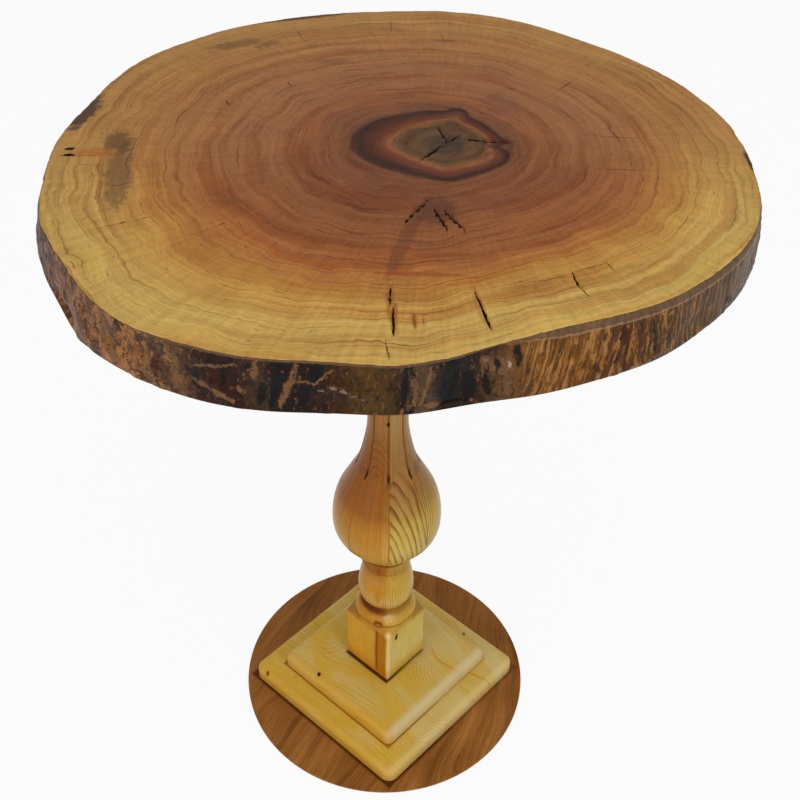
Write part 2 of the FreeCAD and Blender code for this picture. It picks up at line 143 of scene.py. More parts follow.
class Recipe:
    """The nodes of a material, or of the world, in the making."""

    def __init__(self, owner: bpy.types.Material | bpy.types.World) -> None:
        """Start with no nodes.

        Args:
            owner: The material or the world.
        """
        owner.use_nodes = True
        self.owner = owner
        self.tree = owner.node_tree
        self.tree.nodes.clear()

    @classmethod
    def named(cls, name: str) -> "Recipe":
        """Start a new material with this name."""
        return cls(bpy.data.materials.new(name))

    def node(self, kind: str, settings: dict, inputs: dict, output: int | str = 0) -> Wire:
        """Add one node.

        Args:
            kind: The node's type, without ShaderNode before it.
            settings: Its properties, and a ramp's stops as (position, colour) pairs.
            inputs: Values or wires by the name or number of the input socket.
            output: Which output to return.

        Returns:
            A wire from that output.
        """
        made = self.tree.nodes.new("ShaderNode" + kind)
        for key, value in settings.items():
            if key == "stops":
                self._set_stops(made.color_ramp, value)
            else:
                setattr(made, key, value)
        for key, value in inputs.items():
            if isinstance(value, Wire):
                self.tree.links.new(value.socket, made.inputs[key])
            else:
                made.inputs[key].default_value = value
        return Wire(self, made.outputs[output])

    @staticmethod
    def _set_stops(ramp: bpy.types.ColorRamp, stops: Sequence[tuple[float, Colour]]) -> None:
        """Give a ramp its stops, in rising order."""
        while len(ramp.elements) < len(stops):
            ramp.elements.new(1.0)
        for element, (position, colour) in zip(ramp.elements, stops):
            element.position = position
            element.color = colour

    def math(self, operation: str, first: Number, second: Number = 0.0) -> Wire:
        """Return a sum, product or other function of two numbers."""
        return self.node("Math", {"operation": operation}, {0: first, 1: second})

    def vector(self, operation: str, first: Wire, second: object = None) -> Wire:
        """Return a vector from an operation on one or two vectors."""
        inputs = {0: first} if second is None else {0: first, 1: second}
        return self.node("VectorMath", {"operation": operation}, inputs)

    def number(self, operation: str, first: Wire, second: object = None) -> Wire:
        """Return a number from an operation on one or two vectors."""
        inputs = {0: first} if second is None else {0: first, 1: second}
        return self.node("VectorMath", {"operation": operation}, inputs, "Value")

    def scaled(self, first: Wire, scale: Number) -> Wire:
        """Return a vector times a number."""
        return self.node("VectorMath", {"operation": "SCALE"}, {0: first, "Scale": scale})

    def joined(self, x: Number, y: Number, z: Number) -> Wire:
        """Return the vector with these three parts."""
        return self.node("CombineXYZ", {}, {0: x, 1: y, 2: z})

    def parts(self, vector: Wire) -> tuple[Wire, Wire, Wire]:
        """Return the three parts of a vector."""
        outputs = self.node("SeparateXYZ", {}, {0: vector}).socket.node.outputs
        return Wire(self, outputs[0]), Wire(self, outputs[1]), Wire(self, outputs[2])

    def place(self) -> Wire:
        """Return the place on the table, in millimetres."""
        coordinates = self.node("TexCoord", {}, {}, "Object")
        return self.scaled(coordinates, 1 / MM)

    def attribute(self, name: str) -> Wire:
        """Return a number that the mesh carries."""
        return self.node("Attribute", {"attribute_name": name}, {}, "Fac")

    def noise(self, place: Wire, size: float | tuple[float, float, float], detail: float = 2.0,
              rough: float = 0.5) -> Wire:
        """Return cloudy noise around 0.5.

        Args:
            place: Where to look it up.
            size: Rough size of its clouds in the units of the place, or one for each direction.
            detail: How many finer layers it has.
            rough: How strong the finer layers are.

        Returns:
            The noise, from 0 to 1.
        """
        if isinstance(size, tuple):
            place, size = self.vector("DIVIDE", place, size), 1.0
        inputs = {"Vector": place, "Scale": 1 / size, "Detail": detail, "Roughness": rough}
        return self.node("TexNoise", {}, inputs)

    def grain(self, x: Number, y: Number, z: Number, detail: float, rough: float = 0.5) -> Wire:
        """Return noise with clouds of size 1, looked up at the place with these three parts."""
        return self.noise(self.joined(x, y, z), 1.0, detail, rough)

    def warped(self, place: Wire, size: float, reach: float) -> Wire:
        """Return the place moved about by noise, at most by half of the reach.

        Args:
            place: Where it is.
            size: Rough size of the noise's clouds.
            reach: Twice the largest move.

        Returns:
            The moved place.
        """
        cloud = self.node("TexNoise", {}, {"Vector": place, "Scale": 1 / size}, "Color")
        shift = self.vector("SUBTRACT", cloud, (0.5, 0.5, 0.5))
        return self.vector("ADD", place, self.scaled(shift, reach))

    def ramp(self, value: Wire, stops: Sequence[tuple[float, Colour]]) -> Wire:
        """Return a colour picked along a ramp by a value from 0 to 1."""
        return self.node("ValToRGB", {"stops": stops}, {0: value})

    def palette(self, value: Wire, rows: Rows, first: int = 1) -> Wire:
        """Return a ramp's colour from rows of a place and, from column first, a screen colour."""
        return self.ramp(value, [(row[0], srgb(*row[first:first + 3])) for row in rows])

    def mixed(self, share: Number, first: object, second: object, blend: str = "MIX") -> Wire:
        """Return two colours mixed, with the share of the second one."""
        settings = {"data_type": "RGBA", "blend_type": blend}
        return self.node("Mix", settings, {0: share, 6: first, 7: second}, 2)

    def layered(self, colour: Wire, *layers: tuple[Wire, Colour]) -> Wire:
        """Lay colours over one another, each by its own mask.

        Args:
            colour: The colour at the bottom.
            *layers: Masks and colours, the lowest first.

        Returns:
            The mixed colour.
        """
        for mask, paint in layers:
            colour = self.mixed(mask, colour, paint)
        return colour

    def knotted(self, colour: Wire, place: Wire, knots: Sequence["Knot"]) -> Wire:
        """Return a colour with knots over it."""
        return self.layered(colour, *((knot.mask(self, place), knot.colour) for knot in knots))

    def shaded(self, colour: Wire, factor: Wire) -> Wire:
        """Return a colour made lighter or darker by a factor."""
        grey = self.joined(factor, factor, factor)
        return self.mixed(1.0, colour, grey, "MULTIPLY")

    def finish(self, colour: Wire, rough: Number, height: Wire, depth: float,
               **more: Number) -> bpy.types.Material:
        """Close the material with a varnished surface.

        Args:
            colour: The base colour.
            rough: The roughness.
            height: Relief from 0 to 1.
            depth: Real height of the relief in metres.
            **more: Values for other sockets, with spaces written as underscores.

        Returns:
            The finished material.
        """
        bump = self.node("Bump", {}, {"Height": height, "Distance": depth}, "Normal")
        inputs = {"Base Color": colour, "Roughness": rough, "Normal": bump}
        for key, value in more.items():
            inputs[key.replace("_", " ")] = value
        self.close(self.node("BsdfPrincipled", {}, inputs))
        return self.owner

    def close(self, shader: Wire) -> None:
        """Send a shader to the output.

        Args:
            shader: The wire from the last shader.
        """
        whole = "World" if isinstance(self.owner, bpy.types.World) else "Material"
        output = self.tree.nodes.new("ShaderNodeOutput" + whole)
        self.tree.links.new(shader.socket, output.inputs["Surface"])


# Colours of the natural edge
DARK = srgb(4, 4, 4)
MAROON = srgb(64, 22, 4)
TAN = srgb(127, 87, 50)
ORANGE = srgb(153, 83, 22)
KNOB = srgb(116, 80, 52)
PALE = srgb(157, 120, 89)
CAMBIUM = srgb(104, 78, 54)


class Depth(Enum):
    """How deep a mark in the end grain goes, as its share of the full relief."""

    LINE = 0.35
    CHECK = 1.0


@dataclass(frozen=True)
class Mark:
    """A line in the end grain from one place to another, in millimetres from the axis."""

    start: tuple[float, float]
    end: tuple[float, float]
    width: float
    strength: float = 1.0
    depth: Depth = Depth.CHECK

    def mask(self, recipe: Recipe, place: Wire, ends: float = 0.35, middle: float = 2.6) -> Wire:
        """Return how much of the mark shows: the distance to the line, thinning to its ends.

        Args:
            recipe: The material.
            place: The flat place, in millimetres.
            ends: Half width at the ends, as a share of the width.
            middle: Four times the half width that the middle adds, as such a share.

        Returns:
            A value from 0 beside the mark to its strength on it.
        """
        run = (self.end[0] - self.start[0], self.end[1] - self.start[1], 0.0)
        square = run[0] ** 2 + run[1] ** 2
        away = recipe.vector("SUBTRACT", place, (self.start[0], self.start[1], 0.0))
        unit = (run[0] / square, run[1] / square, 0.0)
        along = recipe.number("DOT_PRODUCT", away, unit).at_least(0.0).up_to(1.0)
        foot = recipe.vector("MULTIPLY", recipe.joined(along, along, along), run)
        gap = recipe.number("DISTANCE", away, foot)
        reach = along * (1 - along) * (middle * self.width) + ends * self.width
        return gap.rise(reach, reach * 0.45) * self.strength

    def groove(self, x: np.ndarray, y: np.ndarray) -> np.ndarray:
        """Return the mark's depth at each place: 1 on the line, sloping to 0 at twice its width.

        Args:
            x: Places along X in millimetres.
            y: Places along Y in millimetres.

        Returns:
            The share of the full depth.
        """
        run = np.array(self.end) - np.array(self.start)
        east, north = x - self.start[0], y - self.start[1]
        along = np.clip((east * run[0] + north * run[1]) / (run @ run), 0, 1)
        gap = np.hypot(east - along * run[0], north - along * run[1])
        reach = (0.5 + 2.4 * along * (1 - along)) * self.width
        return np.clip(1.6 - 1.3 * gap / reach, 0, 1) * self.strength * self.depth.value


@dataclass(frozen=True)
class Blot:
    """A soft oval of another colour on the end grain, in millimetres and degrees."""

    middle: tuple[float, float]
    half_sizes: tuple[float, float]
    turn: float
    strength: float
    colour: Colour
    ragged: float

    def mask(self, recipe: Recipe, place: Wire, cloud: Wire) -> Wire:
        """Return how much of the blot shows: distance in its turned oval, with a ragged edge.

        Args:
            recipe: The material.
            place: The flat place, in millimetres.
            cloud: Noise that frays the edge.

        Returns:
            A value from 0 outside to its strength in the middle.
        """
        cosine, sine = math.cos(math.radians(self.turn)), math.sin(math.radians(self.turn))
        wide, high = self.half_sizes
        away = recipe.vector("SUBTRACT", place, (self.middle[0], self.middle[1], 0.0))
        across = recipe.number("DOT_PRODUCT", away, (cosine / wide, sine / wide, 0.0))
        along = recipe.number("DOT_PRODUCT", away, (-sine / high, cosine / high, 0.0))
        far = recipe.math("SQRT", across * across + along * along)
        far = far + (cloud - 0.5) * (2 * self.ragged)
        return far.rise(1.1, 0.55) * self.strength


def marks(depth: Depth, rows: Rows) -> tuple[Mark, ...]:
    """Make marks of one depth from rows of a start, an end, a width and perhaps a strength."""
    return tuple(Mark(row[:2], row[2:4], *row[4:], depth=depth) for row in rows)


# Checks, and the fine lines beside them, in the slab's top
CRACKS = marks(Depth.CHECK, (
    (27, -13, 47, 12, 1.5), (47, 12, 62, 27, 1.2), (44, 48, 51, 16, 1.1), (70, 26, 80, 17, 2.6),
    (80, 19, 107, 14, 1.9, 0.9), (28, -82, 16, -101, 1.1), (16, -101, 6, -117, 0.9),
    (32, -97, 36, -110, 1.6), (36, -108, 41, -126, 1.6), (40, -98, 55, -128, 1.5),
    (-8, -207, -9, -217, 1.2), (-9, -219, -9, -227, 1.6), (-7, -233, -8, -268, 1.5),
    (56, -213, 60, -236, 1.1), (59, -232, 64, -262, 1.3), (134, -190, 137, -212, 1.2),
    (-300, -3, -258, -3, 0.8), (-250, -124, -219, -111, 0.9), (-226, -114, -219, -111, 2.2),
)) + marks(Depth.LINE, (
    (-14, -274, -12, -296, 0.8, 0.8), (8, -241, 8, -260, 1.4, 0.5),
    (14, -244, 15, -256, 0.7, 0.5), (137, -211, 143, -224, 0.8, 0.8),
    (92, -204, 133, -195, 0.7, 0.7), (134, -191, 163, -178, 0.7, 0.7),
    (163, -178, 168, -190, 0.8, 0.7), (-219, -111, -198, -103, 0.6, 0.7),
    (-168, -135, -139, -114, 0.7, 0.8), (-274, -19, -250, -21, 0.6, 0.8),
    (-246, -58, -222, -50, 0.6, 0.7), (9, 279, 9, 252, 0.7, 0.8), (59, 252, 64, 226, 0.6, 0.6),
    (-90, 256, -83, 231, 0.7, 0.7), (-154, 99, -148, 88, 1.2, 0.8),
    (-96, 138, -92, 126, 0.9, 0.6), (183, 137, 167, 119, 0.8, 0.8), (180, 27, 228, 21, 0.6, 0.7),
    (176, -33, 222, -36, 0.6, 0.7), (118, 122, 123, 118, 1.2, 0.7),
    (-52, -70, -34, -84, 0.9, 0.5),
))

# Soft stains in the slab's top: middle, half sizes, turn, strength, colour and raggedness
BLOTS = tuple(Blot(row[:2], row[2:4], row[4], row[5], srgb(*row[6:9]), row[9]) for row in (
    (-236, -40, 13, 66, 4, 0.62, 92, 68, 48, 0.6), (-243, 20, 16, 24, 10, 0.7, 86, 58, 42, 0.7),
    (-262, 2, 24, 9, 4, 0.6, 164, 92, 34, 0.5), (-151, 222, 34, 10, 22, 0.62, 104, 74, 44, 0.7),
    (-119, 222, 18, 8, 30, 0.6, 104, 74, 46, 0.7), (-60, 245, 40, 5, 8, 0.35, 140, 84, 40, 0.6),
    (34, -100, 22, 24, 0, 0.62, 78, 50, 38, 0.6), (5, -146, 7, 62, -17, 0.48, 92, 56, 38, 0.5),
    (-8, -236, 5, 34, 3, 0.55, 140, 82, 34, 0.5), (58, -236, 4, 26, 8, 0.45, 146, 88, 36, 0.5),
    (8, -250, 3, 12, 3, 0.6, 170, 96, 26, 0.4), (34, -165, 30, 3.5, 2, 0.55, 124, 62, 36, 0.6),
    (14, -191, 46, 3.5, -4, 0.6, 142, 70, 32, 0.6),
    (64, 229, 15, 3.5, -8, 0.6, 104, 70, 44, 0.6), (108, 88, 22, 26, 20, 0.35, 96, 64, 56, 0.6),
    (-52, 182, 22, 7, 0, 0.4, 104, 68, 44, 0.7), (96, 14, 22, 12, 0, 0.45, 66, 42, 34, 0.5),
    (52, 12, 18, 22, -40, 0.5, 52, 44, 42, 0.6), (-285, 8, 5.5, 3.4, 8, 1, 16, 10, 7, 0.3),
    (-284, -3, 6.5, 2.8, 0, 1, 14, 9, 6, 0.3), (-283, 76, 13, 40, -14, 0.92, 72, 56, 42, 0.6),
    (-296, 118, 8, 30, -24, 0.85, 66, 50, 38, 0.6), (-96, 284, 80, 5, 14, 0.85, 70, 48, 32, 0.5),
    (319, -26, 5, 26, 2, 0.9, 58, 38, 30, 0.5),
))


@dataclass(frozen=True)
class EndGrain:
    """The slab's varnished end grain: rings round the pith, dark heart, golden sapwood.

    Rows of the heart hold a share of the growth, and the colours at the front and the back. Rows
    of the core hold a share of the way out to its line, and a colour.
    """

    pith: tuple[float, float] = (45.0, 12.0)
    heart: Rows = (
        (0.22, 115, 71, 47, 106, 68, 46), (0.33, 126, 78, 51, 136, 84, 51),
        (0.44, 130, 80, 48, 141, 93, 59), (0.55, 140, 86, 51, 145, 97, 61),
        (0.65, 152, 95, 51, 150, 102, 61), (0.74, 170, 119, 57, 157, 109, 63),
        (0.815, 181, 139, 71, 156, 109, 60), (0.88, 185, 149, 81, 161, 116, 64),
        (0.935, 189, 157, 87, 164, 120, 66), (1, 185, 150, 79, 165, 121, 66),
    )
    core: Rows = (
        (0, 95, 71, 49), (0.2, 80, 59, 40), (0.4, 97, 71, 47), (0.52, 84, 60, 40),
        (0.62, 108, 76, 47), (0.69, 135, 82, 49), (0.76, 106, 60, 40), (0.86, 86, 49, 35),
        (0.95, 54, 33, 27), (1, 63, 40, 30),
    )

    def build(self) -> bpy.types.Material:
        """Return the material.

        The ring number of a place is the mesh's growth value plus low noise, so that the rings
        run from the core's outline out to the rim's. Rays are noise on the direction from the
        pith.

        Returns:
            The finished material.
        """
        recipe = Recipe.named("hickory_end_grain")
        place = recipe.place()
        flat = recipe.vector("MULTIPLY", place, (1, 1, 0))
        away = recipe.vector("SUBTRACT", flat, (self.pith[0], self.pith[1], 0))
        east, north, _ = recipe.parts(recipe.vector("NORMALIZE", away))
        cloud = recipe.noise(flat, 46, 3)
        small_cloud = recipe.noise(flat, 8, 3, 0.6)
        growth = recipe.attribute("growth") + (cloud - 0.5) * 20 + (small_cloud - 0.5) * 2.6
        fine = recipe.grain(growth / 2.1, east * 1.5, north * 1.5, 3, 0.7)
        broad = recipe.grain(growth / 6, east * 0.9, north * 0.9, 4, 0.7)
        ray = recipe.grain(east * 70, north * 70, growth / 34, 2, 0.6)
        pores = recipe.grain(growth / 0.8, east * 46, north * 46, 2, 0.6)
        colour = self._base_colour(recipe, east, north, growth, cloud, broad)
        lines = fine.rise(0.42, 0.27) + broad.rise(0.40, 0.24) * 0.5
        colour = recipe.mixed((lines * 0.85).up_to(1), colour, srgb(194, 150, 118), "MULTIPLY")
        wide = recipe.grain(growth / 17, east * 0.8, north * 0.8, 3, 0.6)
        colour = recipe.mixed(wide.rise(0.48, 0.66) * 0.42, colour, srgb(218, 168, 132), "MULTIPLY")
        tone = 1.10 + (fine - 0.5) * 0.8 + (broad - 0.5) * 0.9 + (ray - 0.5) * 0.5
        colour = recipe.shaded(colour, tone + (pores - 0.5) * 0.5 + (cloud - 0.5) * 0.3)
        fleck = recipe.grain(growth / 1.3, east * 22, north * 22, 2)
        colour = recipe.mixed(fleck.rise(0.66, 0.74) * 0.6, colour, srgb(76, 44, 27))
        for blot in BLOTS:
            colour = recipe.mixed(blot.mask(recipe, flat, small_cloud), colour, blot.colour)
        cracks = self._cracks(recipe, recipe.warped(flat, 5, 2.4))
        # Near-black painted shade in the checks and lines, over the grooves that the slab's mesh
        # cuts for them.
        colour = recipe.mixed(cracks.up_to(1), colour, srgb(22, 13, 9))
        height = fine * 0.3 + pores * 0.3 + (1 - cracks) * 0.4
        rough = 0.42 + (cloud - 0.5) * 0.16 + (fine - 0.5) * 0.16 + cracks * 0.3
        return recipe.finish(colour, rough, height, 0.0004, Specular_IOR_Level=0.03)

    def _base_colour(self, recipe: Recipe, east: Wire, north: Wire, growth: Wire, cloud: Wire,
                     broad: Wire) -> Wire:
        """Return the plain colour: the dark core, the heart and the sapwood.

        Args:
            recipe: The material.
            east: The direction from the pith along X, from -1 to 1.
            north: The direction from the pith along Y, from -1 to 1.
            growth: The ring number.
            cloud: Large noise.
            broad: Noise that follows the rings.

        Returns:
            The colour before the fine grain.
        """
        share = growth / GROWTH_END + (cloud - 0.5) * 0.10 + (broad - 0.5) * 0.10
        core = recipe.attribute("core")
        inner = core + (cloud - 0.5) * 0.2 + (broad - 0.5) * 0.2 - east * core * (1 - core) * 0.5
        core_colour = recipe.palette(inner, self.core)
        back, front = (recipe.palette(share, self.heart, first) for first in (4, 1))
        heart = recipe.mixed(north.rise(0.25, -0.70), back, front)
        edge = core + (cloud - 0.5) * 0.05
        return recipe.mixed(edge.rise(0.985, 1.06), core_colour, heart)

    @staticmethod
    def _cracks(recipe: Recipe, place: Wire) -> Wire:
        """Return how dark the painted shade in the cracks is, the strongest at each place.

        Args:
            recipe: The material.
            place: The flat place, in millimetres.

        Returns:
            A value from 0 to 1.
        """
        dark = None
        for mark in CRACKS:
            mask = mark.mask(recipe, place)
            dark = mask if dark is None else dark.at_least(mask)
        return dark


@dataclass(frozen=True)
class Paint:
    """Marks of one colour on the slab's edge.

    Each mark runs between places given as degrees round the slab and millimetres above the
    floor, with its width in millimetres.
    """

    colour: Colour
    strength: float
    marks: tuple[tuple[float, float, float, float, float], ...]

    def mask(self, recipe: Recipe, sheet: Wire, per_degree: float) -> Wire:
        """Return how much of the marks shows, the strongest at each place.

        Args:
            recipe: The material.
            sheet: The place on the unrolled edge, in millimetres.
            per_degree: Millimetres of edge for a degree of turn.

        Returns:
            A value from 0 to the strength.
        """
        found = None
        for first_turn, first_level, last_turn, last_level, width in self.marks:
            start = (first_turn * per_degree, first_level)
            end = (last_turn * per_degree, last_level)
            mask = Mark(start, end, width).mask(recipe, sheet, 0.55, 1.4)
            found = mask if found is None else found.at_least(mask)
        return found * self.strength


# What stands out on the natural edge: dark scars, tan scrapes, orange streaks, and pale nodules,
# some of them painted highlights
EDGE_PAINTS = (
    Paint(DARK, 0.95, (
        (203.5, 752, 205.5, 722, 7), (211.6, 748, 212.6, 726, 2.2), (216.6, 755, 217.2, 744, 3.4),
        (229.2, 756, 229.9, 749, 3.2), (218.8, 741, 219.2, 725, 1.6), (232.6, 750, 232.9, 741, 2),
        (230.8, 752, 231.3, 726, 0.9), (241.5, 738, 241, 722, 4), (243.5, 750, 242.6, 738, 2.2),
        (245.6, 749, 245.2, 728, 2.6), (249, 752, 248.4, 742, 2.6), (250.6, 733, 250, 714, 5),
        (253.1, 754, 251.4, 712, 4.6), (258, 752, 257.4, 737, 9), (256.6, 733, 255.6, 716, 6),
        (270, 754, 269.6, 713, 3), (276.5, 752, 276, 716, 13), (279, 736, 279.4, 714, 10),
        (281.4, 733, 282.2, 716, 5), (286.2, 751, 286.6, 738, 3.6), (283.1, 745, 283.3, 742, 4),
        (285.4, 722, 285.8, 712, 3.4), (308.6, 744, 309, 716, 2.4), (304.2, 750, 303, 738, 3.4),
        (311.5, 728, 312.2, 712, 2), (326, 722, 327.6, 715, 5), (302.4, 723, 302, 718, 3),
    )),
    Paint(MAROON, 0.85, (
        (235.6, 744, 235, 720, 5.4), (244.6, 742, 244, 716, 2.4), (236.8, 752, 236.4, 742, 1.6),
        (303.6, 749, 304, 733, 6), (298.6, 722, 299.6, 715, 4), (214.6, 756, 214.9, 742, 2.4),
    )),
    Paint(TAN, 0.9, (
        (255.2, 752, 252.7, 712, 4.6), (254.6, 737, 257.6, 736.5, 1.7), (257.5, 736, 260.2, 751, 2),
        (241.2, 740, 247, 748, 2.4), (241, 727, 246.6, 714, 3.6), (247.2, 728, 247.9, 722, 3),
        (225.4, 748, 227.6, 714, 9), (219, 718, 221.4, 714, 7), (238.4, 744, 238, 714, 4.4),
        (250, 754, 249.4, 738, 3.8), (273.6, 752, 272, 716, 2.4), (271.5, 738, 271.2, 716, 2),
        (246.8, 731, 249.2, 747, 0.9), (233.9, 744, 233.4, 716, 4.2), (273, 715, 274.4, 713, 5),
    )),
    Paint(ORANGE, 0.6, (
        (215.6, 756, 215.9, 742, 3.4), (226, 748, 226.3, 716, 1.8), (231.6, 751, 231.9, 727, 2.6),
        (232.2, 749, 233.5, 738, 1.2), (233.3, 751, 232.8, 736, 1), (208.4, 740, 208.8, 728, 2.2),
        (294.4, 738, 293.6, 716, 2.4), (279.6, 712, 280.6, 709, 2.6), (299.6, 735, 300.4, 722, 2.6),
        (290.8, 745, 289.2, 722, 1.6), (305.2, 733, 305.6, 728, 2.6), (306.2, 744, 304.6, 736, 1.6),
    )),
    Paint(KNOB, 0.9, (
        (281.2, 748, 282.6, 740, 7), (283.8, 745, 285.4, 738, 7), (283, 738, 285, 733, 4),
        (281, 741, 281.2, 730, 1.6), (284.6, 730, 285.4, 712, 5), (271, 742, 271.4, 735, 4.4),
    )),
    Paint(DARK, 0.95, ((283.1, 745, 283.4, 742, 3.2), (286.7, 752, 287, 738, 3.2))),
    # Pale nodules, partly painted highlights on the knob and on the glossy resin bumps.
    Paint(PALE, 0.62, (
        (259.7, 735, 260.5, 733, 3.4), (261.3, 731, 261.8, 729, 3), (262.5, 727, 263, 726, 3.6),
        (264, 724, 264.3, 723, 2.8), (258.1, 730, 258.7, 729, 2.2), (284.9, 742, 285.2, 738, 1.8),
        (281.6, 746, 282, 744, 1.8), (287.5, 722, 287.8, 720, 1.8), (302, 718, 302.5, 715, 1.2),
        (305.4, 727, 305.6, 724, 1.6), (302.8, 714, 303.2, 712, 1.4),
    )),
)


@dataclass(frozen=True)
class BarkEdge:
    """The slab's natural edge: bark left in patches, scraped wood and striped sapwood.

    The zones are rows of a turn in degrees round the slab and a colour.
    """

    zones: Rows = (
        (92, 69, 40, 10), (112, 100, 64, 25), (135, 60, 34, 5), (160, 85, 52, 22),
        (185, 55, 25, 4), (196, 69, 34, 4), (204, 55, 22, 4), (209, 103, 55, 7),
        (214, 122, 69, 16), (219, 111, 67, 25), (224, 127, 80, 37), (227, 165, 109, 60),
        (231, 148, 94, 42), (234, 100, 71, 47), (238.5, 94, 67, 44), (241, 42, 10, 4),
        (248, 45, 14, 4), (250, 74, 50, 28), (252, 14, 4, 4), (256, 25, 4, 4), (261, 57, 28, 4),
        (264.5, 85, 57, 4), (268.5, 69, 42, 4), (270, 22, 4, 4), (272, 100, 74, 50),
        (274.5, 37, 25, 14), (280.5, 28, 16, 7), (284, 94, 60, 28), (288, 116, 71, 18),
        (296, 116, 67, 10), (304, 89, 47, 5), (330, 92, 62, 20),
    )
    start_turn: float = 90.0
    per_degree: float = 5.41
    top: float = 757.0
    thickness: float = 50.0

    def build(self) -> bpy.types.Material:
        """Return the material.

        Everything is looked up on the unrolled edge: degrees times millimetres for a degree
        across, and the height up. The colour is picked by the turn, moved about by noise that
        is stretched along the trunk. Slivers are steps on such noise.

        Returns:
            The finished material.
        """
        recipe = Recipe.named("hickory_bark")
        turn, drop, _ = recipe.parts(recipe.node("UVMap", {"uv_map": "edge"}, {}))
        degrees = turn * 360 + self.start_turn
        level = drop * -self.thickness + self.top
        bare = degrees.window(285, 290, 345, 362)
        lean = (level - 732) * degrees.window(284, 289, 299, 312) * 0.32
        plain = recipe.joined(degrees * self.per_degree, level, 0)
        sheet = recipe.joined(degrees * self.per_degree - lean, level, 0)
        frayed = recipe.warped(sheet, 7, 5)
        streak = recipe.noise(frayed, (1.5, 24, 1), 4, 0.65)
        sliver = recipe.noise(frayed, (3.4, 13, 1), 4, 0.6)
        mottle = recipe.noise(frayed, (6, 8, 1), 4, 0.65)
        grit = recipe.noise(sheet, 0.8, 2)
        moved = turn + (mottle - 0.5) * 0.020 + (streak - 0.5) * 0.012
        colour = recipe.palette(moved, [((zone[0] - self.start_turn) / 360, *zone[1:])
                                        for zone in self.zones])
        stripe = recipe.noise(recipe.warped(sheet, 16, 3), (3.6, 60, 1), 4, 0.7)
        shade = degrees.window(300, 326, 350, 362)
        torn = recipe.warped(recipe.warped(plain, 7, 6), 2, 2.6)
        rusty = degrees.window(243, 234, 206, 196)
        patch = recipe.noise(torn, (13, 16, 1), 3, 0.55)
        colour = recipe.layered(
            colour,
            (sliver.rise(0.58, 0.66) * (0.75 - bare * 0.35), TAN),
            (sliver.rise(0.43, 0.35) * (0.85 - bare * 0.35), DARK),
            (stripe.rise(0.50, 0.60) * bare * 0.7, srgb(169, 120, 62)),
            (stripe.rise(0.48, 0.38) * bare * 0.85, srgb(55, 34, 9)),
            (shade * (0.15 + mottle.rise(0.62, 0.42) * 0.5), srgb(69, 52, 29)),
            (mottle.rise(0.60, 0.70) * 0.4, MAROON),
            (patch.rise(0.53, 0.55) * rusty * 0.85, srgb(69, 33, 13)),
            (patch.rise(0.45, 0.43) * rusty * 0.6, srgb(191, 127, 69)),
        )
        raised = None
        for paint in EDGE_PAINTS:
            mask = paint.mask(recipe, torn, self.per_degree) * sliver.rise(0.30, 0.46)
            colour = recipe.mixed(mask, colour, paint.colour)
            raised = mask if paint.colour == PALE else raised
        colour = self._rim(recipe, colour, degrees, drop, mottle)
        run = streak + (stripe - streak) * bare * 0.7
        tone = 0.02 + run * 1.1 + (mottle - 0.5) * 1.1 + grit * 0.5
        colour = recipe.shaded(colour, tone.at_least(0.12))
        height = sliver * 0.4 + run * 0.3 + mottle * 0.2 + grit * 0.1 + raised * 0.4
        rough = 0.42 - raised * 0.3 + (mottle - 0.5) * 0.4
        coat = raised * 0.9
        return recipe.finish(colour, rough, height, 0.0024, Coat_Weight=coat, Coat_Roughness=0.14,
                             Specular_IOR_Level=0.12)

    @staticmethod
    def _rim(recipe: Recipe, colour: Wire, degrees: Wire, drop: Wire, fray: Wire) -> Wire:
        """Add the thin bark line under the rim, and the wide worn band at the right front.

        Args:
            recipe: The material.
            colour: The colour so far.
            degrees: The turn round the slab.
            drop: Share of the drop down the edge.
            fray: Noise that frays the band.

        Returns:
            The colour with the rim's lines.
        """
        worn = degrees.window(283, 296, 334, 352)
        thin = degrees.window(230, 238, 276, 284)
        end = 0.012 + thin * 0.035 + worn * 0.125
        depth = drop + (fray - 0.5) * 0.05
        lip = abs(depth - end).rise(0.026, 0.006) * worn
        return recipe.layered(colour, (depth.rise(end, end * 0.8) * 0.9, CAMBIUM),
                              (lip * 0.75, PALE))


@dataclass(frozen=True)
class Knot:
    """A small stained oval in pine: its place and half sizes in millimetres, and its colour."""

    place: tuple[float, float, float]
    half_sizes: tuple[float, float, float]
    colour: Colour
    strength: float

    def distance(self, recipe: Recipe, place: Wire) -> Wire:
        """Return the distance from the oval's middle, where its rim is at 1."""
        away = recipe.vector("SUBTRACT", place, self.place)
        return recipe.number("LENGTH", recipe.vector("DIVIDE", away, self.half_sizes))

    def mask(self, recipe: Recipe, place: Wire) -> Wire:
        """Return the strength inside the oval and 0 outside it."""
        return self.distance(recipe, place).rise(1.15, 0.6) * self.strength


def knots(*rows: Sequence[float]) -> tuple[Knot, ...]:
    """Make knots from rows of a place, half sizes, a screen colour and a strength."""
    return tuple(Knot(row[:3], row[3:6], srgb(*row[6:9]), row[9]) for row in rows)


@dataclass(frozen=True)
class Arcs:
    """Growth lines round a centre, shown near one place. Sizes in millimetres."""

    centre: tuple[float, float]
    radius: float
    spacing: float
    middle: tuple[float, float]
    reach: float
    width: float
    strength: float

    def mask(self, recipe: Recipe, place: Wire) -> Wire:
        """Return how much of a line shows: the distance to the nearest circle, fading outwards.

        Args:
            recipe: The material.
            place: The flat place, in millimetres.

        Returns:
            A value from 0 beside the lines to their strength on them.
        """
        radius = recipe.number("DISTANCE", place, (*self.centre, 0))
        turn = recipe.math("FRACT", (radius - self.radius) / self.spacing + 0.5)
        gap = abs(turn - 0.5) * self.spacing
        away = recipe.number("DISTANCE", place, (*self.middle, 0))
        near = away.rise(self.reach, self.reach * 0.45)
        return gap.rise(self.width, self.width * 0.2) * near * self.strength


